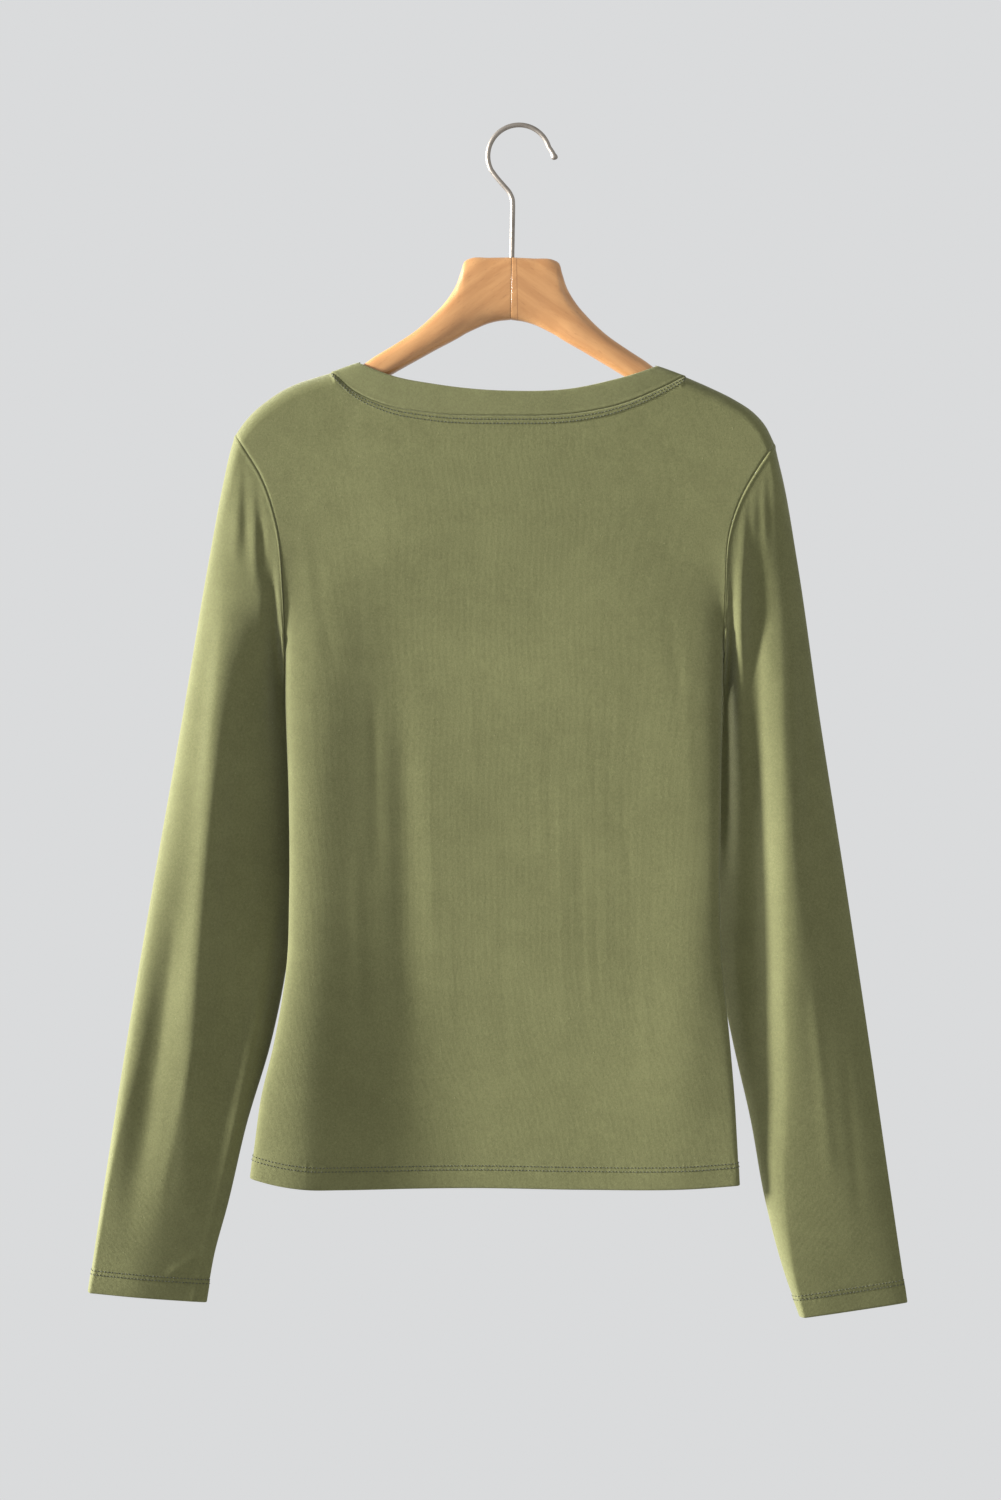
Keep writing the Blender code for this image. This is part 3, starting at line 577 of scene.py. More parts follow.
@dataclass
class Shell:
    """A thin cloth wall on a grid of outer points, with rolled edges where the cloth is turned."""

    outer: np.ndarray
    normals: np.ndarray
    thickness: np.ndarray
    ring: bool
    roll_first: bool = False
    roll_last: bool = False
    roll_steps: int = 4

    def _roll(self, edge: int, beside: int, rolled: bool) -> list[np.ndarray]:
        """Rows of a half round between the outer and the inner wall at one edge."""
        if not rolled:
            return []
        thick = self.thickness[edge][:, None]
        out = self.outer[edge]
        middle = out - self.normals[edge] * thick / 2
        away = unit(self.outer[edge] - self.outer[beside])
        rows = []
        for k in range(1, self.roll_steps):
            turn = math.pi * k / self.roll_steps
            rise = math.cos(turn) * self.normals[edge] + math.sin(turn) * away
            rows.append(middle + rise * thick / 2)
        return rows

    def spread(self, *values: np.ndarray) -> list[np.ndarray]:
        """Repeat numbers of the outer grid for every corner of the built wall."""
        last = self.roll_steps - 1 if self.roll_last else 0
        first = self.roll_steps - 1 if self.roll_first else 0
        return [
            np.concatenate([v, np.repeat(v[-1:], last, 0), v[::-1], np.repeat(v[:1], first, 0)]).ravel()
            for v in values
        ]

    def build(self, name: str, material: bpy.types.Material) -> bpy.types.Object:
        """Make the closed wall.

        Args:
            name: The object's name.
            material: Its finish.

        Returns:
            The wall's object.
        """
        inner = self.outer - self.normals * self.thickness[..., None]
        last = self._roll(-1, -2, self.roll_last)
        first = self._roll(0, 1, self.roll_first)
        rows = list(self.outer) + last + list(inner[::-1]) + first[::-1]
        count, columns = len(rows), self.outer.shape[1]
        index = np.arange(count * columns).reshape(count, columns)
        faces = grid_faces(np.concatenate([index, index[:1]]), self.ring)
        if not self.ring:
            height = len(self.outer)
            turn = height + len(last)
            for column in (0, columns - 1):
                out = index[:height, column]
                back = index[turn:turn + height, column][::-1]
                sides = [out[:-1], out[1:], back[1:], back[:-1]]
                faces += np.stack(sides, axis=-1).tolist()
                if last:
                    faces.append(index[height - 1:turn + 1, column].tolist())
                if first:
                    faces.append(index[turn + height - 1:, column].tolist() + [int(out[0])])
        return mesh_object(name, np.concatenate(rows), faces, material)


class BodyForm:
    """The body's outer surface, read by a place across and a place up, as the solids have it."""

    def __init__(self) -> None:
        """Lay the outline's paths."""
        self.hem = Path(HEM)
        self.side = {side: Path(self._side_points(side)) for side in Side}
        self.armhole = {side: Path(ARMHOLE[side]) for side in Side}
        self.shoulder = {side: Path(SHOULDER[side]) for side in Side}
        self.neck = {face: Path(NECK_SEAM[face]) for face in Face}
        self.depth_z = [-row.z for row in BODY_DEPTHS]
        self.depth = [row.depth for row in BODY_DEPTHS]

    @staticmethod
    def _side_points(side: Side) -> list[Point]:
        """The side seam from the hem up to the underarm."""
        corner = HEM[0] if side is Side.LEFT else HEM[-1]
        name = side.name.lower()
        return [corner] + [Point(getattr(row, name), row.z) for row in reversed(SIDE_LEVELS)]

    @staticmethod
    def bunched(u: np.ndarray) -> np.ndarray:
        """Place across the body of a column: columns are closer near the sides."""
        return np.sign(u) * (1 - (1 - np.abs(u)) ** COLUMN_BUNCHING)

    def edge(self, side: Side, v: np.ndarray) -> np.ndarray:
        """A panel's side edge: side seam below, armhole above."""
        low = self.side[side].at(np.clip(v / SIDE_SEAM_SHARE, 0, 1))
        high = self.armhole[side].at(np.clip((1 - v) / (1 - SIDE_SEAM_SHARE), 0, 1))
        return np.where((v <= SIDE_SEAM_SHARE)[..., None], low, high)

    def top(self, face: Face, u: np.ndarray) -> np.ndarray:
        """A panel's top edge: shoulder ridge, neck seam, shoulder ridge."""
        ridge = np.clip((np.abs(u) - NECK_U) / (1 - NECK_U), 0, 1)
        left, right = (self.shoulder[side].at(ridge) for side in Side)
        shoulder = np.where((u < 0)[..., None], left, right)
        neck = self.neck[face].at(np.clip((u / NECK_U + 1) / 2, 0, 1))
        return np.where((np.abs(u) >= NECK_U)[..., None], shoulder, neck)

    def outline(self, face: Face, u: np.ndarray, v: np.ndarray) -> np.ndarray:
        """Blend a place in the viewer's plane from the panel's four edges.

        Args:
            face: Back or front.
            u: Column, from -1 at the left edge to 1 at the right.
            v: Row, from 0 at the hem to 1 at the top.

        Returns:
            X and Z of each place.
        """
        u, v = np.broadcast_arrays(np.asarray(u, float), np.asarray(v, float))
        across = ((self.bunched(u) + 1) / 2)[..., None]
        up = v[..., None]
        ends = self.hem.at(np.array([0.0, 1.0]))
        tips = self.top(face, np.array([-1.0, 1.0]))
        sides = (1 - across) * self.edge(Side.LEFT, v) + across * self.edge(Side.RIGHT, v)
        low = (1 - across) * ends[0] + across * ends[1]
        high = (1 - across) * tips[0] + across * tips[1]
        hem = self.hem.at(across[..., 0])
        return (1 - up) * (hem - low) + up * (self.top(face, u) - high) + sides

    def point(
        self, face: Face, u: np.ndarray, v: np.ndarray, creases: Sequence[Crease] = ()
    ) -> np.ndarray:
        """Read the panel's outer surface.

        Args:
            face: Back or front.
            u: Column, from -1 at the left edge to 1 at the right.
            v: Row, from 0 at the hem to 1 at the top.
            creases: Creases to raise on it.

        Returns:
            Points of the surface, in millimetres.
        """
        u, v = np.broadcast_arrays(np.asarray(u, float), np.asarray(v, float))
        place = self.outline(face, u, v)
        x, z = place[..., 0], place[..., 1]
        depth = through(self.depth_z, self.depth, -z)
        up = np.clip((v - SIDE_SEAM_SHARE) / (1 - SIDE_SEAM_SHARE) / UNDERARM_ROUND, 0, 1)
        squarer = smoothstep(ROLL_FROM, ROLL_FULL, -z)
        square = ARMHOLE_ROLL + (SIDE_ROLL[face] - ARMHOLE_ROLL) * squarer
        start = (ARMHOLE_FULLNESS * np.sqrt(1 - (1 - up) ** 2)) ** square
        rest = 1 - (1 - start) * np.abs(self.bunched(u)) ** square
        lateral = np.clip(rest, 0, 1) ** (1 / square)
        below = np.linalg.norm(place - self.outline(face, u, np.ones_like(v)), axis=-1)
        share = np.clip(np.abs(u) / NECK_U, 0, 1)
        begin = 1 - np.sqrt(1 - (1 - share**NECK_ROLL) ** (2 / NECK_ROLL))
        roll = begin + (1 - begin) * np.clip(below / RIDGE_RADIUS, 0, 1)
        flat = lateral * np.sqrt(1 - (1 - roll) ** 2)
        y = HALF_SEAM + depth * flat + crease_height(creases, x, z) * flat**2
        return np.stack([x, face * y, z], axis=-1)

    def normal(
        self, face: Face, u: np.ndarray, v: np.ndarray, creases: Sequence[Crease] = ()
    ) -> np.ndarray:
        """Outward direction of the panel's surface at these places."""
        u, v = np.broadcast_arrays(np.asarray(u, float), np.asarray(v, float))
        u = np.where((v > 1 - TINY) & (np.abs(np.abs(u) - NECK_U) < TINY),
                     np.sign(u) * (NECK_U + CORNER_NUDGE), u)
        v = np.where((np.abs(u) > 1 - TINY) & (np.abs(v - SIDE_SEAM_SHARE) < TINY),
                     v - CORNER_NUDGE, v)
        step = NORMAL_STEP
        left, right = np.clip(u - step, -1, 1), np.clip(u + step, -1, 1)
        down, up = np.clip(v - step, 0, 1), np.clip(v + step, 0, 1)
        across = self.point(face, right, v, creases) - self.point(face, left, v, creases)
        rise = self.point(face, u, up, creases) - self.point(face, u, down, creases)
        return face * unit(np.cross(rise, across))


class Cloth:
    """A cloth surface as a grid of points, from one edge to the other, with its normals."""

    def __init__(self, points: np.ndarray, normals: np.ndarray, ring: bool) -> None:
        """Keep the grid, and whether its columns run round to the first."""
        self.points = points
        self.normals = normals
        self.ring = ring

    def line(
        self, distance: float, from_last: bool, columns: slice = slice(None), sink: float = 0.0
    ) -> tuple[np.ndarray, np.ndarray]:
        """Follow the surface at a distance from its first or last row.

        Args:
            distance: Distance from the edge in millimetres.
            from_last: True for the last row's edge.
            columns: The columns to follow.
            sink: How far below the surface the line runs.

        Returns:
            Points and normals of the line.
        """
        points, normals = self.points[:, columns], self.normals[:, columns]
        if from_last:
            points, normals = points[::-1], normals[::-1]
        lengths = column_lengths(points)
        spots, tops = (
            np.array([read_along(lengths[:, k], grid[:, k], distance) for k in range(grid.shape[1])])
            for grid in (points, normals)
        )
        tops = unit(tops)
        if self.ring:
            spots, tops = np.vstack([spots, spots[:1]]), np.vstack([tops, tops[:1]])
        return spots - sink * tops, tops


@dataclass(frozen=True)
class Thread:
    """Sewing thread laid along a line as separate stitches, or as one zigzag on the wrong side."""

    pitch: float = 2.5
    stitch: float = 1.75
    radius: float = 0.36
    looper: float = 0.8
    sides: int = 6
    rings: int = 6

    def _sections(
        self, middle: np.ndarray, side: np.ndarray, up: np.ndarray, radius: "float | np.ndarray"
    ) -> np.ndarray:
        """Round sections of the thread about its middle line."""
        turn = 2 * np.pi * np.arange(self.sides) / self.sides
        turn = turn.reshape(-1, *([1] * middle.ndim))
        return np.moveaxis(middle + radius * (np.cos(turn) * side + np.sin(turn) * up), 0, -2)

    def stitches(self, line: tuple[np.ndarray, np.ndarray], start: float = 0.0) -> tuple:
        """Straight stitches along a line.

        Args:
            line: Points and normals to follow.
            start: Where the first stitch begins, in millimetres.

        Returns:
            Corners and faces of all the stitches.
        """
        points, normals = line
        run = run_lengths(points)
        starts = np.arange(start, run[-1] - self.stitch, self.pitch)
        share = np.linspace(0, 1, self.rings)
        at = starts[:, None] + share * self.stitch
        middle = read_along(run, points, at)
        up = unit(read_along(run, normals, at))
        side = unit(np.cross(unit(np.gradient(middle, axis=1)), up))
        bow = np.sin(np.pi * share)[None, :, None]
        middle = middle + up * self.radius * (1.5 * bow - 0.75)
        rings = self._sections(middle, side, up, self.radius * (0.35 + 0.65 * np.sqrt(bow)))
        count = len(starts) * self.rings * self.sides
        index = np.arange(count).reshape(len(starts), self.rings, self.sides)
        faces = []
        for piece in index:
            faces += tube_faces(piece)
        return rings.reshape(-1, 3), faces

    def zigzag(self, low: tuple, high: tuple) -> tuple:
        """The looper's thread between two rows on the wrong side of the cloth.

        Args:
            low: Points and normals of one row.
            high: Points and normals of the other row.

        Returns:
            Corners and faces of the thread.
        """
        run = run_lengths(low[0])
        at = np.arange(1.0, run[-1] - 1.0, self.pitch / 2)
        lows, highs = (read_along(run, row[0], at) for row in (low, high))
        up = unit(read_along(run, low[1], at))
        middle = np.where((np.arange(len(at)) % 2 == 0)[:, None], lows, highs)
        side = unit(np.cross(unit(np.gradient(lows, axis=0)), up))
        rings = self._sections(middle, side, up, self.looper * self.radius)
        index = np.arange(len(at) * self.sides).reshape(len(at), self.sides)
        faces = tube_faces(index)
        return rings.reshape(-1, 3), faces


def joined(parts: list[tuple]) -> tuple[np.ndarray, list[list[int]]]:
    """Join several sets of corners and faces into one."""
    points, faces, offset = [], [], 0
    for corners, own in parts:
        points.append(corners)
        faces += [[offset + i for i in face] for face in own]
        offset += len(corners)
    return np.concatenate(points), faces


def add_cut(made: bpy.types.Object, across: np.ndarray, along: np.ndarray) -> None:
    """Store each corner's place on the cut cloth, in metres, for the knit's pattern."""
    place = np.stack([across, along, np.zeros_like(across)], axis=-1) * MM
    store = made.data.attributes.new("cut", "FLOAT_VECTOR", "POINT")
    store.data.foreach_set("vector", place.astype(np.float32).ravel())


def dress(made: bpy.types.Object, node: str) -> bpy.types.Object:
    """Let a piece ride the body and stand for a solid, which it hides."""
    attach(made, BODY)
    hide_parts(node)
    LOG.info("%s: %d faces", made.name, len(made.data.polygons))
    return made


def sew(name: str, parts: list[tuple], finish: bpy.types.Material) -> bpy.types.Object:
    """Make one sewing piece and let it ride the body."""
    made = mesh_object(name, *joined(parts), finish)
    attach(made, BODY)
    LOG.info("%s: %d faces", name, len(made.data.polygons))
    return made


@dataclass(frozen=True)
class TurnedEdge:
    """Cloth turned to the inside at an edge and held by two needle rows, in mm from the edge."""

    depth: float
    rows: tuple[float, float]
    pucker: float
    soft: float = 1.2
    pucker_place: float = 14.0
    pucker_width: float = 3.5
    dent: float = 0.26
    dent_width: float = 0.9
    double_from: float = 13.6
    extra: float = 0.8
    step: float = 0.4
    double_soft: float = 1.0
    inside_gap: float = 0.1
    row_shift: float = 0.4

    def relief(self, away: np.ndarray, wave: np.ndarray) -> np.ndarray:
        """Height of the double cloth, its puckers and the dents of its rows.

        Args:
            away: Distance from the edge.
            wave: The puckers' wave, from -1 to 1.

        Returns:
            The height at each place, in millimetres.
        """
        height = self.step * (1 - smoothstep(self.depth - self.soft, self.depth, away))
        height += self.pucker * wave * bell(away - self.pucker_place, self.pucker_width)
        for row in self.rows:
            height -= self.dent * bell(away - row, self.dent_width)
        return height

    def doubling(self, away: np.ndarray) -> np.ndarray:
        """How much thicker the turned cloth is at a distance from the edge."""
        return self.extra * (1 - smoothstep(self.double_from, self.double_from + self.double_soft, away))

    def needle_rows(self, cloth: Cloth, from_last: bool, columns: slice = slice(None)) -> list[tuple]:
        """Both rows of stitches on the right side of the cloth."""
        return [Thread().stitches(cloth.line(mm, from_last, columns), self.row_shift * k)
                for k, mm in enumerate(self.rows)]

    def looper(self, cloth: Cloth, thick: np.ndarray, from_last: bool) -> tuple:
        """The zigzag between the rows on the wrong side."""
        inside = Cloth(cloth.points - cloth.normals * (thick[..., None] + self.inside_gap),
                       -cloth.normals, cloth.ring)
        return Thread().zigzag(*(inside.line(mm, from_last) for mm in self.rows))


@dataclass
class Panel:
    """The back or the front of the body: one wall from the hem to the shoulders and the neck."""

    face: Face
    form: BodyForm
    flat_area: float
    neck_columns: int = 64
    shoulder_columns: int = 34
    hem_rows: int = 15
    middle_rows: int = 158
    top_rows: int = 30
    hem_share: float = 0.037
    top_share: float = 0.955
    cloth_thickness: float = 1.0
    hem: TurnedEdge = TurnedEdge(16.3, (12.5, 15.4), 0.13)
    neck_edge: TurnedEdge = TurnedEdge(7.0, (2.7, 5.7), 0.10, 1.0, 4.0, 3.0, 0.24, 0.8, 6.0, 0.5)
    neck_groove: float = 0.45
    seam_groove: float = 0.12
    wrinkle_count: int = 30
    flat_size: tuple[float, float] = (0.395, 0.59)
    creases: list[Crease] = field(init=False)

    def __post_init__(self) -> None:
        """Lay the creases, columns and rows, and read the surface."""
        self.creases = BODY_CREASES[self.face] + wrinkles(
            7 + self.face, self.wrinkle_count, Point(-150, -620), Point(130, -300), 0.03
        )
        self.u, self.v = self._columns(), self._rows()
        grid_u, grid_v = np.meshgrid(self.u, self.v)
        points = self.form.point(self.face, grid_u, grid_v, self.creases)
        normals = self.form.normal(self.face, grid_u, grid_v, self.creases)
        points = points + normals * self._relief(grid_u, grid_v)[..., None]
        self.cloth = Cloth(points, normals, False)
        inside = np.abs(self.u) <= NECK_U + TINY
        self.neck = slice(int(np.argmax(inside)), int(len(inside) - np.argmax(inside[::-1])))

    def _columns(self) -> np.ndarray:
        """Columns: even across the neck, close at the ridges and the side edges."""
        near = NECK_U * np.array(NEAR_RIDGE)
        place = np.linspace(0, float(BodyForm.bunched(near[-1])), self.neck_columns + 1)
        even = 1 - (1 - place[:-1]) ** (1 / COLUMN_BUNCHING)
        out = np.linspace(NECK_U, 1, self.shoulder_columns + 1)[1:]
        half = np.concatenate([even, near[::-1], out])
        return np.concatenate([-half[:0:-1], half])

    def _rows(self) -> np.ndarray:
        """Rows: close at the hem, at the foot of the armhole and at the top."""
        low, high = self.hem_share, self.top_share
        middle = np.linspace(low, high, self.middle_rows)
        foot = SIDE_SEAM_SHARE + np.array([0, 0.0012, 0.0032, 0.0062])
        middle = middle[(middle < foot[0] - 0.003) | (middle > foot[-1] + 0.002)]
        parts = [np.linspace(0, low, self.hem_rows)[:-1], middle, foot,
                 np.linspace(high, 1, self.top_rows)[1:]]
        return np.sort(np.concatenate(parts))

    def _relief(self, u: np.ndarray, v: np.ndarray) -> np.ndarray:
        """Height of the turned hem, the neck's double cloth and the seams' grooves."""
        place = self.form.outline(self.face, u, v)
        up = np.linalg.norm(place - self.form.outline(self.face, u, 0 * v), axis=-1)
        down = np.linalg.norm(place - self.form.outline(self.face, u, 0 * v + 1), axis=-1)
        wave = np.sin(place[..., 0] * 2.05 + 1.7 * np.sin(place[..., 0] * 0.31))
        neck = 1 - smoothstep(NECK_U - CORNER_NUDGE, NECK_U + CORNER_NUDGE, np.abs(u))
        tuck = self.neck_edge.relief(down, wave) - self.neck_groove * bell(down, 0.7)
        height = self.hem.relief(up, wave) + neck * tuck
        height -= (1 - neck) * self.seam_groove * bell(down, 0.9)
        for side in Side:
            aside = np.linalg.norm(place - self.form.edge(side, v), axis=-1)
            height -= self.seam_groove * bell(aside, 1.0)
        return height

    def thickness(self) -> np.ndarray:
        """Thickness of the cloth: double where the hem and the neck seam are turned."""
        up = column_lengths(self.cloth.points)
        neck = (np.abs(self.u) <= NECK_U + TINY).astype(float)
        return (self.cloth_thickness + self.hem.doubling(up)
                + neck * self.neck_edge.doubling(up[-1] - up))

    def build(self, jersey: bpy.types.Material, thread: bpy.types.Material) -> None:
        """Make the panel's wall with its sewing.

        Args:
            jersey: The cloth's finish.
            thread: The sewing's finish.
        """
        name = f"{self.face.name.lower()}_cloth"
        thick = self.thickness()
        shell = Shell(self.cloth.points, self.cloth.normals, thick, False, roll_first=True)
        made = shell.build(name, jersey)
        across = np.cumsum(np.linalg.norm(np.diff(self.cloth.points, axis=1), axis=2), axis=1)
        across = np.concatenate([np.zeros((len(across), 1)), across], axis=1)
        across = across - across[:, [across.shape[1] // 2]]
        up = column_lengths(self.cloth.points)
        add_cut(made, *shell.spread(across, up))
        parts = self.hem.needle_rows(self.cloth, False)
        parts += self.neck_edge.needle_rows(self.cloth, True, self.neck)
        parts.append(self.hem.looper(self.cloth, thick, False))
        sewing = sew(f"{self.face.name.lower()}_sewing", parts, thread)
        dress(made, f"{self.face.name.lower()}_panel")


@dataclass
class Sleeve:
    """A set-in sleeve: a flattened tube from the gathered armhole to the turned cuff."""

    side: Side
    form: BodyForm
    half_columns: int = 84
    top_rows: int = 26
    middle_rows: int = 176
    cuff_rows: int = 26
    top_share: float = 0.045
    cuff_share: float = 0.957
    cloth_thickness: float = 1.0
    cuff: TurnedEdge = TurnedEdge(16.4, (12.8, 15.7), 0.14)
    ridge_height: float = 0.38
    ridge_place: float = 2.0
    seam_groove: float = 0.15
    seam_gap: float = 0.03
    bow_share: float = 0.34
    clear_share: float = 0.015
    flat_size: tuple[float, float] = (0.34, 0.64)
    flat_area: float = 0.107

    def __post_init__(self) -> None:
        """Lay the rings of points and read the surface."""
        self.outer_edge = Path(SLEEVE_OUTER[self.side])
        self.inner_edge = Path(SLEEVE_INNER[self.side])
        half = (1 - np.cos(np.pi * np.arange(self.half_columns + 1) / self.half_columns)) / 2
        self.share = np.concatenate([half, half[-2:0:-1]])
        self.faces = np.array([Face.BACK] * len(half) + [Face.FRONT] * (len(half) - 2))
        low, high = self.top_share, self.cuff_share
        self.t = np.concatenate([
            np.linspace(0, low, self.top_rows)[:-1],
            np.linspace(low, high, self.middle_rows)[:-1],
            np.linspace(high, 1, self.cuff_rows),
        ])
        share, t = np.meshgrid(self.share, self.t)
        points = self._points(share, t)
        normals = self._normals(points)
        points = points + normals * self._relief(points)[..., None]
        self.cloth = Cloth(points, self._normals(points), True)

    def _outline(self, share: np.ndarray, t: np.ndarray) -> np.ndarray:
        """Place of each point in the viewer's plane."""
        shared = share[..., None]
        chord = (1 - shared) * self.outer_edge.at(t) + shared * self.inner_edge.at(t)
        armhole = self.form.armhole[self.side]
        tip, underarm = armhole.at(0.0), armhole.at(1.0)
        bow = armhole.at(share) - ((1 - shared) * tip + shared * underarm)
        clear = self.side * UNDERARM_CLEARANCE * share * smoothstep(0, self.clear_share, t)
        place = chord + bow * (1 - smoothstep(0, self.bow_share, t))[..., None]
        return place + np.stack([clear, np.zeros_like(clear)], axis=-1)

    def _points(self, share: np.ndarray, t: np.ndarray) -> np.ndarray:
        """The sleeve's outer surface before seams and hems."""
        place = self._outline(share, t)
        x, z = place[..., 0], place[..., 1]
        stations = [row.share for row in SLEEVE_DEPTHS]
        hand = self.side.name.lower()
        depth, lean, square, crest = (
            through(stations, [getattr(row, name) for row in SLEEVE_DEPTHS], t)
            for name in ("depth", "lean_" + hand, "square_" + hand, "crest_" + hand)
        )
        spot = 2 * share - 1
        aside = np.abs(spot - crest) / np.where(spot < crest, 1 + crest, 1 - crest)
        round_share = np.clip(1 - aside**square, 0, 1) ** (1 / square)
        y = np.zeros_like(x)
        for face in Face:
            own = np.broadcast_to(self.faces == face, x.shape)
            folds = crease_height(SLEEVE_CREASES[self.side, face], x, z)
            height = (depth + folds * smoothstep(0, 0.02, t)) * round_share
            sooner = smoothstep(LEAN_FROM, LEAN_FULL, t)
            lean_start = CAP_LEAN_START + (LEAN_START - CAP_LEAN_START) * sooner
            free = face * height + lean * smoothstep(lean_start, 1, spot)
            column = 1 - (1 - SIDE_SEAM_SHARE) * share
            seam = self.form.point(face, np.full_like(share, self.side), column)[..., 1]
            seam = np.where((share < TINY) | (share > 1 - TINY), 0.0, seam)
            settle = CAP_SETTLE + (FOLD_SETTLE - CAP_SETTLE) * smoothstep(0.8, 1, share)
            blend = smoothstep(0, settle, t)
            y = np.where(own, (1 - blend) * seam + blend * free, y)
        points = np.stack([x, y, z], axis=-1)
        armhole = self.form.armhole[self.side]
        step = 1e-3
        run = unit(armhole.at(np.clip(share[0] + step, 0, 1))
                   - armhole.at(np.clip(share[0] - step, 0, 1)))
        away = -self.side * np.stack([run[:, 1], 0 * run[:, 0], -run[:, 0]], axis=-1)
        points[0] += self.seam_gap * away
        return points

    @staticmethod
    def _normals(points: np.ndarray) -> np.ndarray:
        """Outward directions of a ring grid."""
        along = np.gradient(points, axis=0)
        around = np.roll(points, -1, axis=1) - np.roll(points, 1, axis=1)
        normals = np.cross(along, around)
        lengths = np.linalg.norm(normals, axis=2, keepdims=True)
        normals = normals / np.maximum(lengths, 1e-9)
        middle = points.mean(axis=1, keepdims=True)
        return normals if np.sum(normals * (points - middle)) > 0 else -normals

    def _relief(self, points: np.ndarray) -> np.ndarray:
        """Height of the armhole seam's ridge and of the turned cuff."""
        down = column_lengths(points)
        height = self.ridge_height * bell(down - self.ridge_place, 1.1)
        height -= self.seam_groove * bell(down, 0.7)
        around = np.cumsum(np.linalg.norm(points - np.roll(points, 1, axis=1), axis=2), axis=1)
        wave = np.sin(around * 2.0 + 1.5 * np.sin(around * 0.33))
        return height + self.cuff.relief(down[-1] - down, wave)

    def build(self, jersey: bpy.types.Material, thread: bpy.types.Material) -> None:
        """Make the sleeve's wall with its sewing.

        Args:
            jersey: The cloth's finish.
            thread: The sewing's finish.
        """
        name = f"sleeve_{self.side.name.lower()}"
        cloth = self.cloth
        up = column_lengths(cloth.points)
        up = up[-1] - up
        thick = self.cloth_thickness + self.cuff.doubling(up)
        shell = Shell(cloth.points, cloth.normals, thick, True, roll_last=True)
        made = shell.build(f"{name}_cloth", jersey)
        steps = np.linalg.norm(np.diff(cloth.points, axis=1, append=cloth.points[:, :1]), axis=2)
        across = np.cumsum(steps, axis=1) - steps
        add_cut(made, *shell.spread(across, up))
        parts = self.cuff.needle_rows(cloth, True) + [self.cuff.looper(cloth, thick, True)]
        sewing = sew(f"{name}_sewing", parts, thread)
        dress(made, name)


@dataclass
class Neckband:
    """The folded band round the neck, with a join at the left ridge."""

    panels: dict[Face, Panel]
    thickness: float = 1.8
    face_steps: int = 14
    fold_steps: int = 5
    seam_gap: float = 0.12
    seam_ridge: float = 0.4
    crown: float = 0.35
    pucker: float = 0.10
    join_ridge: float = 0.28
    join_groove: float = 0.45
    flat_size: tuple[float, float] = (0.59, 0.019)

    def build(self, band: bpy.types.Material) -> None:
        """Make the band.

        Args:
            band: The cloth's finish.
        """
        seams, edges, normals = [], [], []
        for face, panel in self.panels.items():
            u = panel.u[panel.neck]
            if face is Face.FRONT:
                # Back along the front, without the two ridge points that both panels share
                u = u[-2:0:-1]
            form = panel.form
            seam = form.point(face, u, np.ones_like(u), panel.creases)
            edge = Path(BAND_EDGE[face]).at((u / NECK_U + 1) / 2)
            edge = np.stack([edge[:, 0], seam[:, 1], edge[:, 1]], axis=-1)
            normal = form.normal(face, u, np.ones_like(u), panel.creases)
            ridge = np.abs(u) > NECK_U - TINY
            seam[ridge, 1] = edge[ridge, 1] = normal[ridge, 1] = 0.0
            seams.append(seam)
            edges.append(edge)
            normals.append(unit(normal))
        seams, edges, normals = (np.concatenate(part) for part in (seams, edges, normals))
        run = np.roll(seams, -1, axis=0) - np.roll(seams, 1, axis=0)
        away = unit(np.cross(run, normals))
        away *= np.sign(np.sum(away * (edges - seams), axis=1))[:, None]
        seams = seams + self.seam_gap * away
        width = np.linalg.norm(edges - seams, axis=1)[:, None]
        across = (edges - seams) / width
        steps = np.linalg.norm(np.diff(seams, axis=0, append=seams[:1]), axis=1)
        along = np.cumsum(steps) - steps
        half = self.thickness / 2
        outer, inner, mm = [], [], []
        for k in range(self.face_steps + 1):
            share = (k / self.face_steps) ** 1.25
            d = share * (width - half)
            height = self._relief(d[:, 0], width[:, 0], along)[:, None]
            outer.append(seams + across * d + normals * height)
            inner.append(seams + across * d - normals * (self.thickness + 0.2 * height))
            mm.append(d[:, 0])
        fold = []
        for k in range(1, self.fold_steps):
            turn = math.pi * k / self.fold_steps
            middle = seams + across * (width - half) - normals * half
            fold.append(middle + half * (math.sin(turn) * across + math.cos(turn) * normals))
        rings = outer + fold + inner[::-1]
        index = np.arange(len(rings) * len(seams)).reshape(len(rings), len(seams))
        faces = grid_faces(np.concatenate([index, index[:1]]), True)
        made = mesh_object("neckband_cloth", np.concatenate(rings), faces, band)
        spread = np.concatenate(mm + [width[:, 0]] * len(fold) + mm[::-1])
        add_cut(made, np.tile(along, len(rings)), spread)
        dress(made, "neckband")

    def _relief(self, d: np.ndarray, width: np.ndarray, along: np.ndarray) -> np.ndarray:
        """Height of the seam's ridge, the band's soft crown, small puckers and the join."""
        height = self.seam_ridge * bell(d - 1.2, 0.9) - 0.3 * bell(d, 0.6)
        height += self.crown * np.sin(np.pi * np.clip(d / width, 0, 1)) ** 0.8
        wave = np.sin(along * 1.9 + 1.4 * np.sin(along * 0.27))
        height += self.pucker * wave * np.exp(-d / 4)
        aside = np.minimum(along, along[-1] - along)
        return height + self.join_ridge * bell(aside - 1.6, 1.0) - self.join_groove * bell(aside, 0.7)


def tilted(x: float, y: float, z: float) -> np.ndarray:
    """A point of the hanger's own frame, as the hanger leans on its hook."""
    cos, sin = math.cos(TILT), math.sin(TILT)
    return np.array([x * cos + z * sin, y, -x * sin + z * cos])


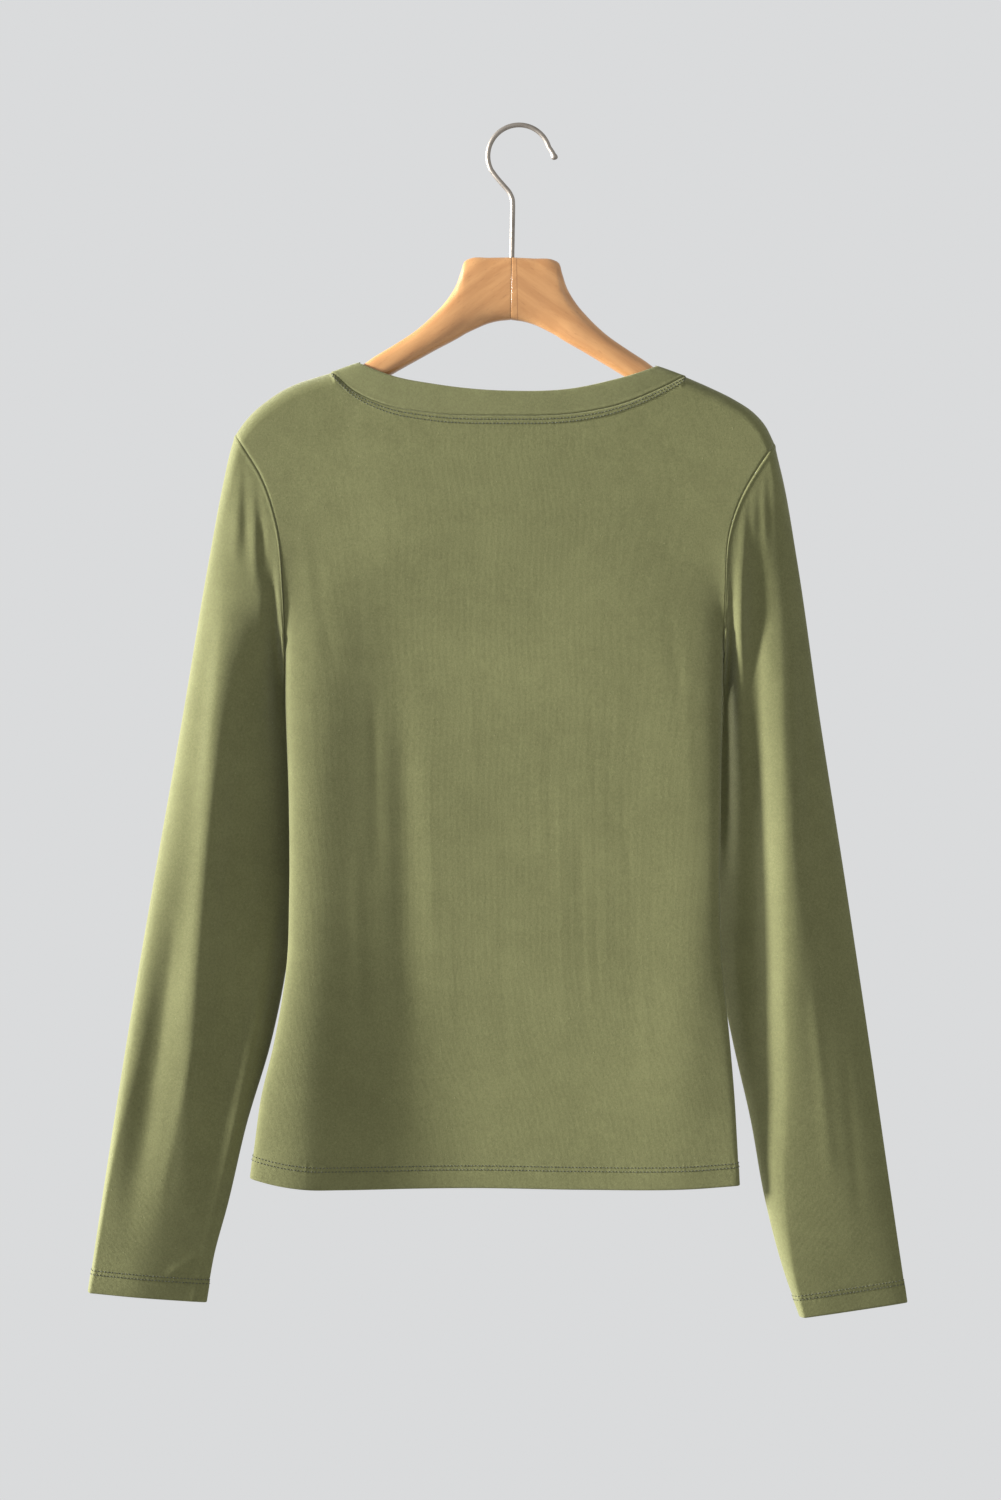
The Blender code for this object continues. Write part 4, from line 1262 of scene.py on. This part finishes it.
@dataclass
class Hanger:
    """The wooden arms with their middle joint, and the wire hook that stands in them."""

    sides: int = 40
    steps: int = 96
    roundness: float = 2.7
    joint_width: float = 0.5
    joint_depth: float = 0.3
    wire: float = 3.5
    wire_sides: int = 20
    hook_radius: float = 22.4
    tip_angle: float = 18.0
    low_angle: float = 208.0
    hook_step: float = 2.0
    neck_steps: int = 20
    stem_steps: int = 8
    bore_depth: float = 17.7
    near_joint: tuple[float, ...] = (0.12, 0.25, 0.4, 0.7)

    def build(self, wood: bpy.types.Material, metal: bpy.types.Material) -> None:
        """Make the wood and the hook.

        Args:
            wood: The arms' finish.
            metal: The hook's finish.
        """
        arms = mesh_object("hanger_arms", *self._arms(), wood)
        dress(arms, "hanger_wood")
        hook = mesh_object("hanger_wire", *self._hook(), metal)
        dress(hook, "hanger_hook")

    def _arms(self) -> tuple[np.ndarray, list[list[int]]]:
        """Rounded sections from one tip through the block to the other."""
        table = np.array([tuple(row) for row in ARM])
        spans = np.linalg.norm(np.diff(table[:, :2], axis=0), axis=1)
        knots = np.concatenate([[0.0], np.cumsum(spans)])
        at = np.linspace(0, knots[-1], self.steps)
        at = np.sort(np.concatenate([at, self.near_joint]))
        half = through(knots, table, at)
        rows = [(-1, row, s) for row, s in zip(half[:0:-1], at[:0:-1])]
        rows += [(1, row, s) for row, s in zip(half, at)]
        rings = []
        for hand, row, s in rows:
            groove = self.joint_depth * math.exp(-((s / (self.joint_width / 2)) ** 2))
            top = np.array([row[0], row[1] - groove])
            low = np.array([row[2], row[3] + groove])
            depth = row[4] - groove
            ring = []
            for k in range(self.sides):
                angle = 2 * math.pi * (k + 0.5) / self.sides
                power = 2 / self.roundness
                up = math.copysign(abs(math.cos(angle)) ** power, math.cos(angle))
                out = math.copysign(abs(math.sin(angle)) ** power, math.sin(angle))
                x, z = (top + low) / 2 + up * (top - low) / 2
                ring.append(tilted(HANGER_CENTRE + hand * x, out * depth, z))
            rings.append(ring)
        points = np.array(rings)
        index = np.arange(points.shape[0] * self.sides).reshape(-1, self.sides)
        faces = tube_faces(index)
        return points.reshape(-1, 3), faces

    def _hook(self) -> tuple[np.ndarray, list[list[int]]]:
        """The bent wire from its rounded tip round to the stem in the block."""
        middle = -(self.hook_radius - self.wire / 2)
        tip = [(ring.x, middle + ring.rise, ring.share) for ring in HOOK_TIP]
        angles = np.radians(np.arange(self.tip_angle, self.low_angle + TINY, self.hook_step))
        bend = [(self.hook_radius * math.cos(a), middle + self.hook_radius * math.sin(a), 1.0)
                for a in angles]
        neck_path = Path([Point(*bend[-1][:2])] + HOOK_NECK)
        shares = np.linspace(0, 1, self.neck_steps + 1)[1:]
        neck = [(*place, 1.0) for place in neck_path.at(shares)]
        end = ARM[0].top_z - self.bore_depth
        stem = [(HANGER_CENTRE, z, 1.0)
                for z in np.linspace(HOOK_NECK[-1].z, end, self.stem_steps + 1)[1:]]
        route = np.array(tip + bend + neck + stem)
        line = np.array([tilted(x, 0.0, z) for x, z, _ in route])
        run = unit(np.gradient(line, axis=0))
        aside = np.stack([-run[:, 2], np.zeros(len(run)), run[:, 0]], axis=-1)
        turn = 2 * np.pi * np.arange(self.wire_sides) / self.wire_sides
        radius = (self.wire / 2 * route[:, 2])[:, None, None]
        rise = np.cos(turn)[None, :, None] * aside[:, None]
        rise = rise + np.sin(turn)[None, :, None] * np.array([0.0, 1.0, 0.0])
        points = line[:, None] + radius * rise
        index = np.arange(points.shape[0] * self.wire_sides).reshape(-1, self.wire_sides)
        faces = tube_faces(index)
        return points.reshape(-1, 3), faces


class Value:
    """A number of a shader, so that sums are written as they would be on paper."""

    def __init__(self, graph: "Graph", socket: bpy.types.NodeSocket) -> None:
        """Wrap one socket of a graph."""
        self.graph = graph
        self.socket = socket

    def _math(self, operation: str, *others: "Value | float") -> "Value":
        """Put this number and others through one sum."""
        return self.graph.math(operation, self, *others)

    def __add__(self, other: "Value | float") -> "Value":
        """Sum."""
        return self._math("ADD", other)

    def __sub__(self, other: "Value | float") -> "Value":
        """Difference."""
        return self._math("SUBTRACT", other)

    def __rsub__(self, other: float) -> "Value":
        """Difference from a plain number."""
        return self.graph.math("SUBTRACT", other, self)

    def __mul__(self, other: "Value | float") -> "Value":
        """Product."""
        return self._math("MULTIPLY", other)

    def __truediv__(self, other: "Value | float") -> "Value":
        """Quotient."""
        return self._math("DIVIDE", other)

    def __rtruediv__(self, other: float) -> "Value":
        """Quotient of a plain number."""
        return self.graph.math("DIVIDE", other, self)

    def __pow__(self, other: "Value | float") -> "Value":
        """Power."""
        return self._math("POWER", other)

    __radd__ = __add__
    __rmul__ = __mul__

    def sine(self) -> "Value":
        """Sine of the number, in radians."""
        return self._math("SINE")

    def size(self) -> "Value":
        """The number without its sign."""
        return self._math("ABSOLUTE")

    def rise(self, low: float, high: float) -> "Value":
        """Run from 0 at low to 1 at high, held there beyond them."""
        ramp = self.graph.node("ShaderNodeMapRange", {"interpolation_type": "SMOOTHSTEP"},
                               {0: self, 1: low, 2: high})
        return Value(self.graph, ramp.outputs[0])


class Graph:
    """The node tree of one finish, cleared but for its shader."""

    def __init__(self, name: str) -> None:
        """Start a material with one Principled shader."""
        self.material = bpy.data.materials.new(name)
        self.material.use_nodes = True
        self.tree = self.material.node_tree
        self.shader = self.tree.nodes["Principled BSDF"]

    def node(self, kind: str, settings: dict, inputs: dict) -> bpy.types.Node:
        """Add a node.

        Args:
            kind: The node's type.
            settings: Its own settings, set first.
            inputs: Numbers, colours or links for its sockets.

        Returns:
            The node.
        """
        made = self.tree.nodes.new(kind)
        for key, value in settings.items():
            setattr(made, key, value)
        for key, value in inputs.items():
            self.feed(made.inputs[key], value)
        return made

    def feed(self, socket: bpy.types.NodeSocket, value: object) -> None:
        """Link or set one socket."""
        if isinstance(value, Value):
            value = value.socket
        if isinstance(value, bpy.types.NodeSocket):
            self.tree.links.new(value, socket)
        else:
            socket.default_value = value

    def math(self, operation: str, *values: "Value | float") -> Value:
        """One sum of numbers."""
        made = self.node("ShaderNodeMath", {"operation": operation}, dict(enumerate(values)))
        return Value(self, made.outputs[0])

    def object_place(self) -> bpy.types.NodeSocket:
        """The place on the object, in metres."""
        return self.node("ShaderNodeTexCoord", {}, {}).outputs["Object"]

    def cut_place(self) -> bpy.types.NodeSocket:
        """The place on the cut cloth, in metres."""
        return self.node("ShaderNodeAttribute", {"attribute_name": "cut"}, {}).outputs["Vector"]

    def parts(self, place: bpy.types.NodeSocket) -> tuple[Value, Value, Value]:
        """The three numbers of a place."""
        split = self.node("ShaderNodeSeparateXYZ", {}, {0: place})
        return tuple(Value(self, split.outputs[k]) for k in range(3))

    def place(self, x: "Value | float", y: "Value | float", z: "Value | float"
              ) -> bpy.types.NodeSocket:
        """A place from three numbers."""
        return self.node("ShaderNodeCombineXYZ", {}, {0: x, 1: y, 2: z}).outputs[0]

    def noise(self, place: bpy.types.NodeSocket, scale: float, detail: float = 2.0,
              roughness: float = 0.5, distortion: float = 0.0) -> Value:
        """Smooth noise from 0 to 1.

        Args:
            place: Where it is read.
            scale: Waves per metre.
            detail: How many finer layers it has.
            roughness: How strong they are.
            distortion: How much the noise is bent by itself.

        Returns:
            The noise.
        """
        made = self.node("ShaderNodeTexNoise", {}, {
            "Vector": place, "Scale": scale, "Detail": detail, "Roughness": roughness,
            "Distortion": distortion,
        })
        return Value(self, made.outputs[0])

    def spots(self, place: bpy.types.NodeSocket, scale: float, feature: str = "F1") -> Value:
        """Distance to the nearest of many scattered spots."""
        made = self.node("ShaderNodeTexVoronoi", {"feature": feature},
                         {"Vector": place, "Scale": scale})
        return Value(self, made.outputs["Distance"])

    def mix(self, share: "Value | float", low: object, high: object) -> bpy.types.NodeSocket:
        """Mix two colours."""
        made = self.node("ShaderNodeMix", {"data_type": "RGBA"}, {})
        for key, value in ((0, share), (6, low), (7, high)):
            self.feed(made.inputs[key], (*value, 1.0) if isinstance(value, tuple) else value)
        return made.outputs[2]

    def bump(self, height: Value, strength: float, distance: float) -> bpy.types.NodeSocket:
        """A surface's fine relief, as a normal."""
        made = self.node("ShaderNodeBump", {}, {
            "Strength": strength, "Distance": distance, "Height": height,
        })
        return made.outputs["Normal"]

    def shade(self, inputs: dict) -> bpy.types.Material:
        """Set the shader's sockets by name and hand back the material."""
        for key, value in inputs.items():
            if isinstance(value, tuple) and len(value) == 3:
                value = (*value, 1.0)
            self.feed(self.shader.inputs[key], value)
        return self.material


@dataclass(frozen=True)
class Jersey:
    """Single jersey: fine upright wales, heathered yarn, a few pills and a soft bloom."""

    name: str
    pale: Colour
    deep: Colour
    wale: float = 0.00085
    course: float = 0.00062
    relief: float = 0.00030

    def build(self) -> bpy.types.Material:
        """Make the material."""
        graph = Graph(self.name)
        cut, spot = graph.cut_place(), graph.object_place()
        across, along, _ = graph.parts(cut)
        drift = graph.noise(cut, 260.0, 2.0)
        wander = across + (drift - 0.5) * (0.5 * self.wale)
        wale = (wander * (math.pi / self.wale)).sine().size()
        lean = wale * 0.55
        loop = ((along / self.course + lean) * math.tau).sine()
        yarn = graph.noise(graph.place(across * 0.35, along, 0.0), 2600.0, 3.0, 0.7)
        heather = graph.noise(spot, 620.0, 4.0, 0.75)
        cloudy = graph.noise(spot, 14.0, 3.0, 0.55)
        faded = graph.noise(spot, 70.0, 2.0, 0.6)
        pill = 1 - graph.spots(spot, 230.0).rise(0.05, 0.16)
        few = graph.noise(spot, 95.0, 1.0).rise(0.56, 0.66)
        pills = pill * few
        tone = heather * 0.55 + yarn * 0.45
        tone = tone * 0.75 + cloudy * 0.15 + faded * 0.10
        colour = graph.mix(tone.rise(0.32, 0.68), self.deep, self.pale)
        lint = tuple(min(1.0, 1.25 * part + 0.02) for part in self.pale)
        colour = graph.mix(pills * 0.4, colour, lint)
        height = wale * 0.4 + loop * 0.12 + yarn * 0.35 + heather * 0.95 + pills * 0.9
        return graph.shade({
            "Base Color": colour,
            "Roughness": 0.80 + heather * 0.16,
            "Sheen Weight": 0.28,
            "Sheen Roughness": 0.45,
            "Sheen Tint": (0.86, 0.86, 0.70),
            "Specular IOR Level": 0.22,
            "Normal": graph.bump(height, 0.75, self.relief),
        })


@dataclass(frozen=True)
class SewingThread:
    """Twisted thread, darker green than the cloth, and darkened further as painted shade of the stitch
    rows' dents.
    """

    name: str = "dark_thread_painted_shade"
    # Thread colours: partly the thread's own dark green, partly painted shade of the dents that the
    # stitch rows sink into.
    pale: Colour = (0.046, 0.049, 0.020)
    deep: Colour = (0.022, 0.025, 0.009)

    def build(self) -> bpy.types.Material:
        """Make the material."""
        graph = Graph(self.name)
        spot = graph.object_place()
        x, y, z = graph.parts(spot)
        twist = ((x + z * 0.8 + y * 0.6) * (math.tau / 0.0006)).sine() * 0.5 + 0.5
        fuzz = graph.noise(spot, 2400.0, 2.0)
        colour = graph.mix((twist * 0.6 + fuzz * 0.4).rise(0.2, 0.8), self.deep, self.pale)
        return graph.shade({
            "Base Color": colour,
            "Roughness": 0.52 + fuzz * 0.16,
            "Sheen Weight": 0.15,
            "Normal": graph.bump(twist, 0.6, 0.00008),
        })


@dataclass(frozen=True)
class Wood:
    """Honey-coloured wood under clear varnish. Its grain follows each arm and meets in the middle."""

    name: str = "honey_wood_grain"
    pale: Colour = (0.475, 0.240, 0.088)
    deep: Colour = (0.375, 0.174, 0.058)
    pore: Colour = (0.22, 0.095, 0.03)
    slope: float = 0.62

    def build(self) -> bpy.types.Material:
        """Make the material."""
        graph = Graph(self.name)
        x, y, z = graph.parts(graph.object_place())
        aside = x - HANGER_CENTRE * MM + z * math.tan(TILT)
        off = aside.size()
        hand = aside.rise(-0.0001, 0.0001)
        along = off * math.cos(self.slope) - z * math.sin(self.slope)
        over = off * math.sin(self.slope) + z * math.cos(self.slope)
        shift = hand * 0.37
        board = graph.place(along * 0.14 + shift, y * 0.8, over)
        streak = graph.noise(board, 150.0, 5.0, 0.62, 0.8)
        rings = ((over + y * 0.3 + graph.noise(board, 26.0, 2.0) * 0.012) * 520.0).sine()
        fine = graph.noise(graph.place(along * 0.04 + shift, y, over), 2100.0, 3.0, 0.7)
        pores = graph.noise(graph.place(along * 0.09 + shift, y, over), 1500.0, 1.0)
        tone = streak * 0.6 + (rings * 0.5 + 0.5) * 0.16 + fine * 0.24
        colour = graph.mix(tone.rise(0.30, 0.72), self.deep, self.pale)
        dark = pores.rise(0.66, 0.74) * 0.4
        colour = graph.mix(dark, colour, self.pore)
        joint = 1 - off.rise(0.00012, 0.00042)
        colour = graph.mix(joint * 0.75, colour, self.pore)
        worn = graph.noise(graph.object_place(), 38.0, 3.0)
        return graph.shade({
            "Base Color": colour,
            "Roughness": 0.34 + worn * 0.18,
            "Coat Weight": 0.30 + worn * 0.25,
            "Coat Roughness": 0.16,
            "Normal": graph.bump(fine * 0.6 + (1 - dark) * 0.4, 0.35, 0.00012),
        })


@dataclass(frozen=True)
class Nickel:
    """Bright nickel wire with fine drawing lines and faint tarnish."""

    name: str = "nickel_wire_drawn"
    clean: Colour = (0.30, 0.268, 0.232)
    dull: Colour = (0.205, 0.178, 0.150)

    def build(self) -> bpy.types.Material:
        """Make the material."""
        graph = Graph(self.name)
        spot = graph.object_place()
        tarnish = graph.noise(spot, 120.0, 4.0, 0.6)
        lines = graph.noise(spot, 1800.0, 2.0, 0.6)
        colour = graph.mix(tarnish.rise(0.42, 0.72) * 0.7, self.clean, self.dull)
        return graph.shade({
            "Base Color": colour,
            "Metallic": 1.0,
            "Roughness": 0.46 + tarnish * 0.12 + lines * 0.04,
            "Normal": graph.bump(lines, 0.10, 0.00002),
        })


@dataclass
class Studio:
    """Camera at the photo's angle, soft light from the left and a pale floor below."""

    eye: tuple[float, float, float] = (-0.0137, -2.2, -0.4483)
    lens: float = 73.33
    backdrop: Colour = (0.70, 0.708, 0.716)
    target: tuple[float, float, float] = (-0.01, 0.0, -0.45)
    lamps: tuple[Lamp, ...] = (
        Lamp("key", (-5.9, -1.13, 0.70), 0.9, 1440.0),
        Lamp("fill", (1.6, -2.2, 0.4), 1.8, 6.0),
        Lamp("rear", (-5.2, 1.9, 0.7), 2.0, 470.0),
    )
    floor_radius: float = 640.0
    floor_top: float = -1250.0
    floor_thickness: float = 24.0
    floor_bevel: tuple[float, float] = (20.0, 4.0)
    floor_sides: int = 72

    def build(self) -> None:
        """Make the camera, the lamps, the world and the floor."""
        self._camera()
        for lamp in self.lamps:
            self._add_lamp(lamp)
        world = bpy.data.worlds.new("pale_room")
        world.use_nodes = True
        sky = world.node_tree.nodes["Background"]
        sky.inputs[0].default_value = (*self.backdrop, 1)
        sky.inputs[1].default_value = 1.0
        bpy.context.scene.world = world
        self._floor()
        bpy.context.scene.view_settings.view_transform = "Standard"
        bpy.context.scene.view_settings.look = "None"

    def _camera(self) -> None:
        """The photo's camera."""
        data = bpy.data.cameras.new("camera")
        data.sensor_fit = "VERTICAL"
        data.sensor_height = 36.0
        data.lens = self.lens
        camera = bpy.data.objects.new("camera", data)
        camera.location = self.eye
        camera.rotation_euler = (math.pi / 2, 0.0, 0.0)
        bpy.context.scene.collection.objects.link(camera)
        bpy.context.scene.camera = camera

    def _add_lamp(self, lamp: Lamp) -> None:
        """One soft lamp turned to the object."""
        data = bpy.data.lights.new(lamp.name, "AREA")
        data.shape = "DISK"
        data.size = lamp.size
        data.energy = lamp.power
        made = bpy.data.objects.new(lamp.name, data)
        made.location = lamp.place
        way = Vector(self.target) - Vector(lamp.place)
        made.rotation_euler = way.to_track_quat("-Z", "Y").to_euler()
        bpy.context.scene.collection.objects.link(made)

    def _floor(self) -> None:
        """A pale round floor with a bevelled rim, well below the cuffs."""
        graph = Graph("pale_floor")
        speck = graph.noise(graph.object_place(), 40.0, 3.0)
        paint = graph.shade({
            "Base Color": graph.mix(speck, (0.29, 0.293, 0.296), (0.32, 0.323, 0.326)),
            "Roughness": 0.85,
        })
        turn = np.linspace(0, 2 * np.pi, self.floor_sides + 1)[:-1]
        out, down = self.floor_bevel
        rim = self.floor_radius + out
        rows = []
        for radius, drop in ((self.floor_radius, 0.0), (rim, down), (rim, self.floor_thickness),
                             (self.floor_radius, self.floor_thickness)):
            ring = [radius * np.cos(turn), radius * np.sin(turn), 0 * turn + self.floor_top - drop]
            rows.append(np.stack(ring, axis=-1))
        index = np.arange(len(rows) * len(turn)).reshape(len(rows), -1)
        faces = tube_faces(index)
        floor = mesh_object("floor", np.concatenate(rows), faces, paint)


def main() -> None:
    """Build the pieces in order."""
    logging.basicConfig(level=logging.INFO, format="%(name)s: %(message)s")
    jersey = Jersey(Slot.JERSEY.value + "_knit", (0.163, 0.164, 0.070), (0.095, 0.096, 0.037)).build()
    band_cloth = Jersey(Slot.BAND.value + "_knit", (0.172, 0.174, 0.077), (0.103, 0.104, 0.042)).build()
    thread = SewingThread().build()
    form = BodyForm()
    areas = {Face.BACK: 0.187, Face.FRONT: 0.176}
    panels = {face: Panel(face, form, areas[face]) for face in Face}
    for panel in panels.values():
        panel.build(jersey, thread)
    for side in Side:
        Sleeve(side, form).build(jersey, thread)
    Neckband(panels).build(band_cloth)
    Hanger().build(Wood().build(), Nickel().build())
    Studio().build()
    bpy.context.view_layer.update()


if __name__ == "__main__":
    main()
